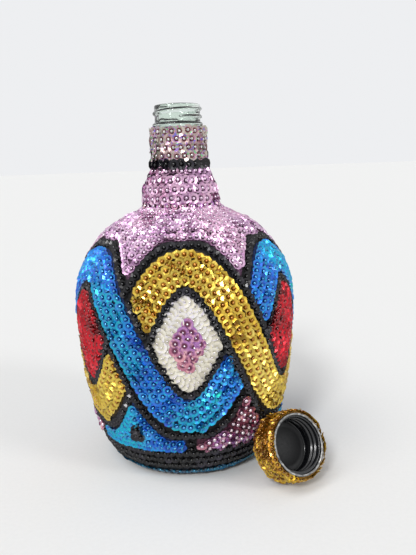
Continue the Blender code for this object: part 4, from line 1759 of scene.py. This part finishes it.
    def build(self) -> None:
        """Makes every piece of the cap."""
        self.threaded_insert()
        self.sealing_liner()
        self.rolled_shell()
        self.cover()


@dataclass(frozen=True)
class Lamp:
    """A distant soft light.

    Its side is in degrees round the bottle, 0 from the front and 90 from the right; its height and its
    spread are in degrees too.
    """

    name: str
    strength: float
    side: float
    height: float
    spread: float

    def build(self) -> None:
        """Sets the lamp."""
        light = bpy.data.lights.new(self.name, "SUN")
        light.energy = self.strength
        light.angle = math.radians(self.spread)
        turn, rise = math.radians(self.side), math.radians(self.height)
        source = Vector((math.cos(rise) * math.sin(turn), -math.cos(rise) * math.cos(turn), math.sin(rise)))
        lamp = bpy.data.objects.new(self.name, light)
        lamp.rotation_euler = source.to_track_quat("Z", "Y").to_euler()
        bpy.context.scene.collection.objects.link(lamp)


LAMPS = (Lamp("overhead", 0.9, -60.0, 60.0, 35.0), Lamp("key", 1.5, -24.0, 38.0, 12.0),
         Lamp("fill", 0.7, 55.0, 26.0, 16.0))


@dataclass
class Studio:
    """The pale floor, the soft lights and the camera."""

    eye: tuple[float, float, float] = (0.0, -0.342, 0.165)
    pitch: float = 10.62
    yaw: float = 2.30
    roll: float = 2.05
    lens: float = 38.92
    ambient: float = 0.45
    backdrop: float = 0.88
    sky_colour: tuple[float, float, float, float] = (0.97, 0.98, 1.0, 1.0)
    floor_half: float = 30.0
    floor_dark: Colour = (0.81, 0.81, 0.80)
    floor_light: Colour = (0.83, 0.83, 0.82)
    floor_grain: float = 500.0
    near: float = 0.01

    def floor(self) -> None:
        """Makes a pale floor that runs to the horizon."""
        form = bmesh.new()
        bmesh.ops.create_grid(form, x_segments=4, y_segments=4, size=self.floor_half)
        board = NodeBoard("pale_floor_paper")
        stops = ((0.3, self.floor_dark), (0.7, self.floor_light))
        board.join(board.ramp(board.noise(self.floor_grain), stops), board.shader.inputs["Base Color"])
        board.set(Roughness=0.9, Specular_IOR_Level=0.1)
        piece = as_piece("floor", form, board.material)
        bpy.context.scene.collection.objects.link(piece)

    def sky(self) -> None:
        """Sets the pale surroundings, which show brighter than they light."""
        world = bpy.data.worlds.new("studio")
        world.use_nodes = True
        tree = world.node_tree
        tree.nodes["Background"].inputs["Color"].default_value = self.sky_colour
        rays = tree.nodes.new("ShaderNodeLightPath")
        seen = rays.outputs["Is Camera Ray"]
        for name in ("Is Glossy Ray", "Is Transmission Ray"):
            either = tree.nodes.new("ShaderNodeMath")
            either.operation = "MAXIMUM"
            tree.links.new(seen, either.inputs[0])
            tree.links.new(rays.outputs[name], either.inputs[1])
            seen = either.outputs[0]
        strength = tree.nodes.new("ShaderNodeMapRange")
        strength.inputs["To Min"].default_value = self.ambient
        strength.inputs["To Max"].default_value = self.backdrop
        tree.links.new(seen, strength.inputs["Value"])
        tree.links.new(strength.outputs["Result"], tree.nodes["Background"].inputs["Strength"])
        bpy.context.scene.world = world

    def camera(self) -> None:
        """Sets the camera at the photograph's viewing angle."""
        pitch, yaw, roll = (math.radians(v) for v in (self.pitch, self.yaw, self.roll))
        right = Vector((math.cos(yaw), -math.sin(yaw), 0.0))
        ahead = Vector((math.sin(yaw) * math.cos(pitch), math.cos(yaw) * math.cos(pitch), -math.sin(pitch)))
        above = Vector((math.sin(yaw) * math.sin(pitch), math.cos(yaw) * math.sin(pitch), math.cos(pitch)))
        turned = right * math.cos(roll) - above * math.sin(roll)
        above = right * math.sin(roll) + above * math.cos(roll)
        lens = bpy.data.cameras.new("camera")
        lens.lens = self.lens
        lens.sensor_width = 36.0
        lens.sensor_fit = "AUTO"
        lens.clip_start = self.near
        camera = bpy.data.objects.new("camera", lens)
        matrix = Matrix((turned, above, -ahead)).transposed().to_4x4()
        matrix.translation = Vector(self.eye)
        camera.matrix_world = matrix
        bpy.context.scene.collection.objects.link(camera)
        bpy.context.scene.camera = camera

    def build(self) -> None:
        """Sets the whole studio."""
        self.floor()
        self.sky()
        for lamp in LAMPS:
            lamp.build()
        self.camera()
        bpy.context.scene.view_settings.view_transform = "Standard"


def main() -> None:
    """Builds the whole scene in order."""
    logging.basicConfig(level=logging.INFO, format="%(message)s")
    studio = Studio()
    studio.build()
    form = BottleForm()
    palette = Palette()
    GlassBottle(form).build()
    cloth = ClothDress(form)
    cloth.build()
    BodyEmbroidery(form, Interlace(form), cloth, palette).build()
    Cap(palette).build()
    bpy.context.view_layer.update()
    LOG.info("bodies: %s", ", ".join(frame["bodies"]))


if __name__ == "__main__":
    main()
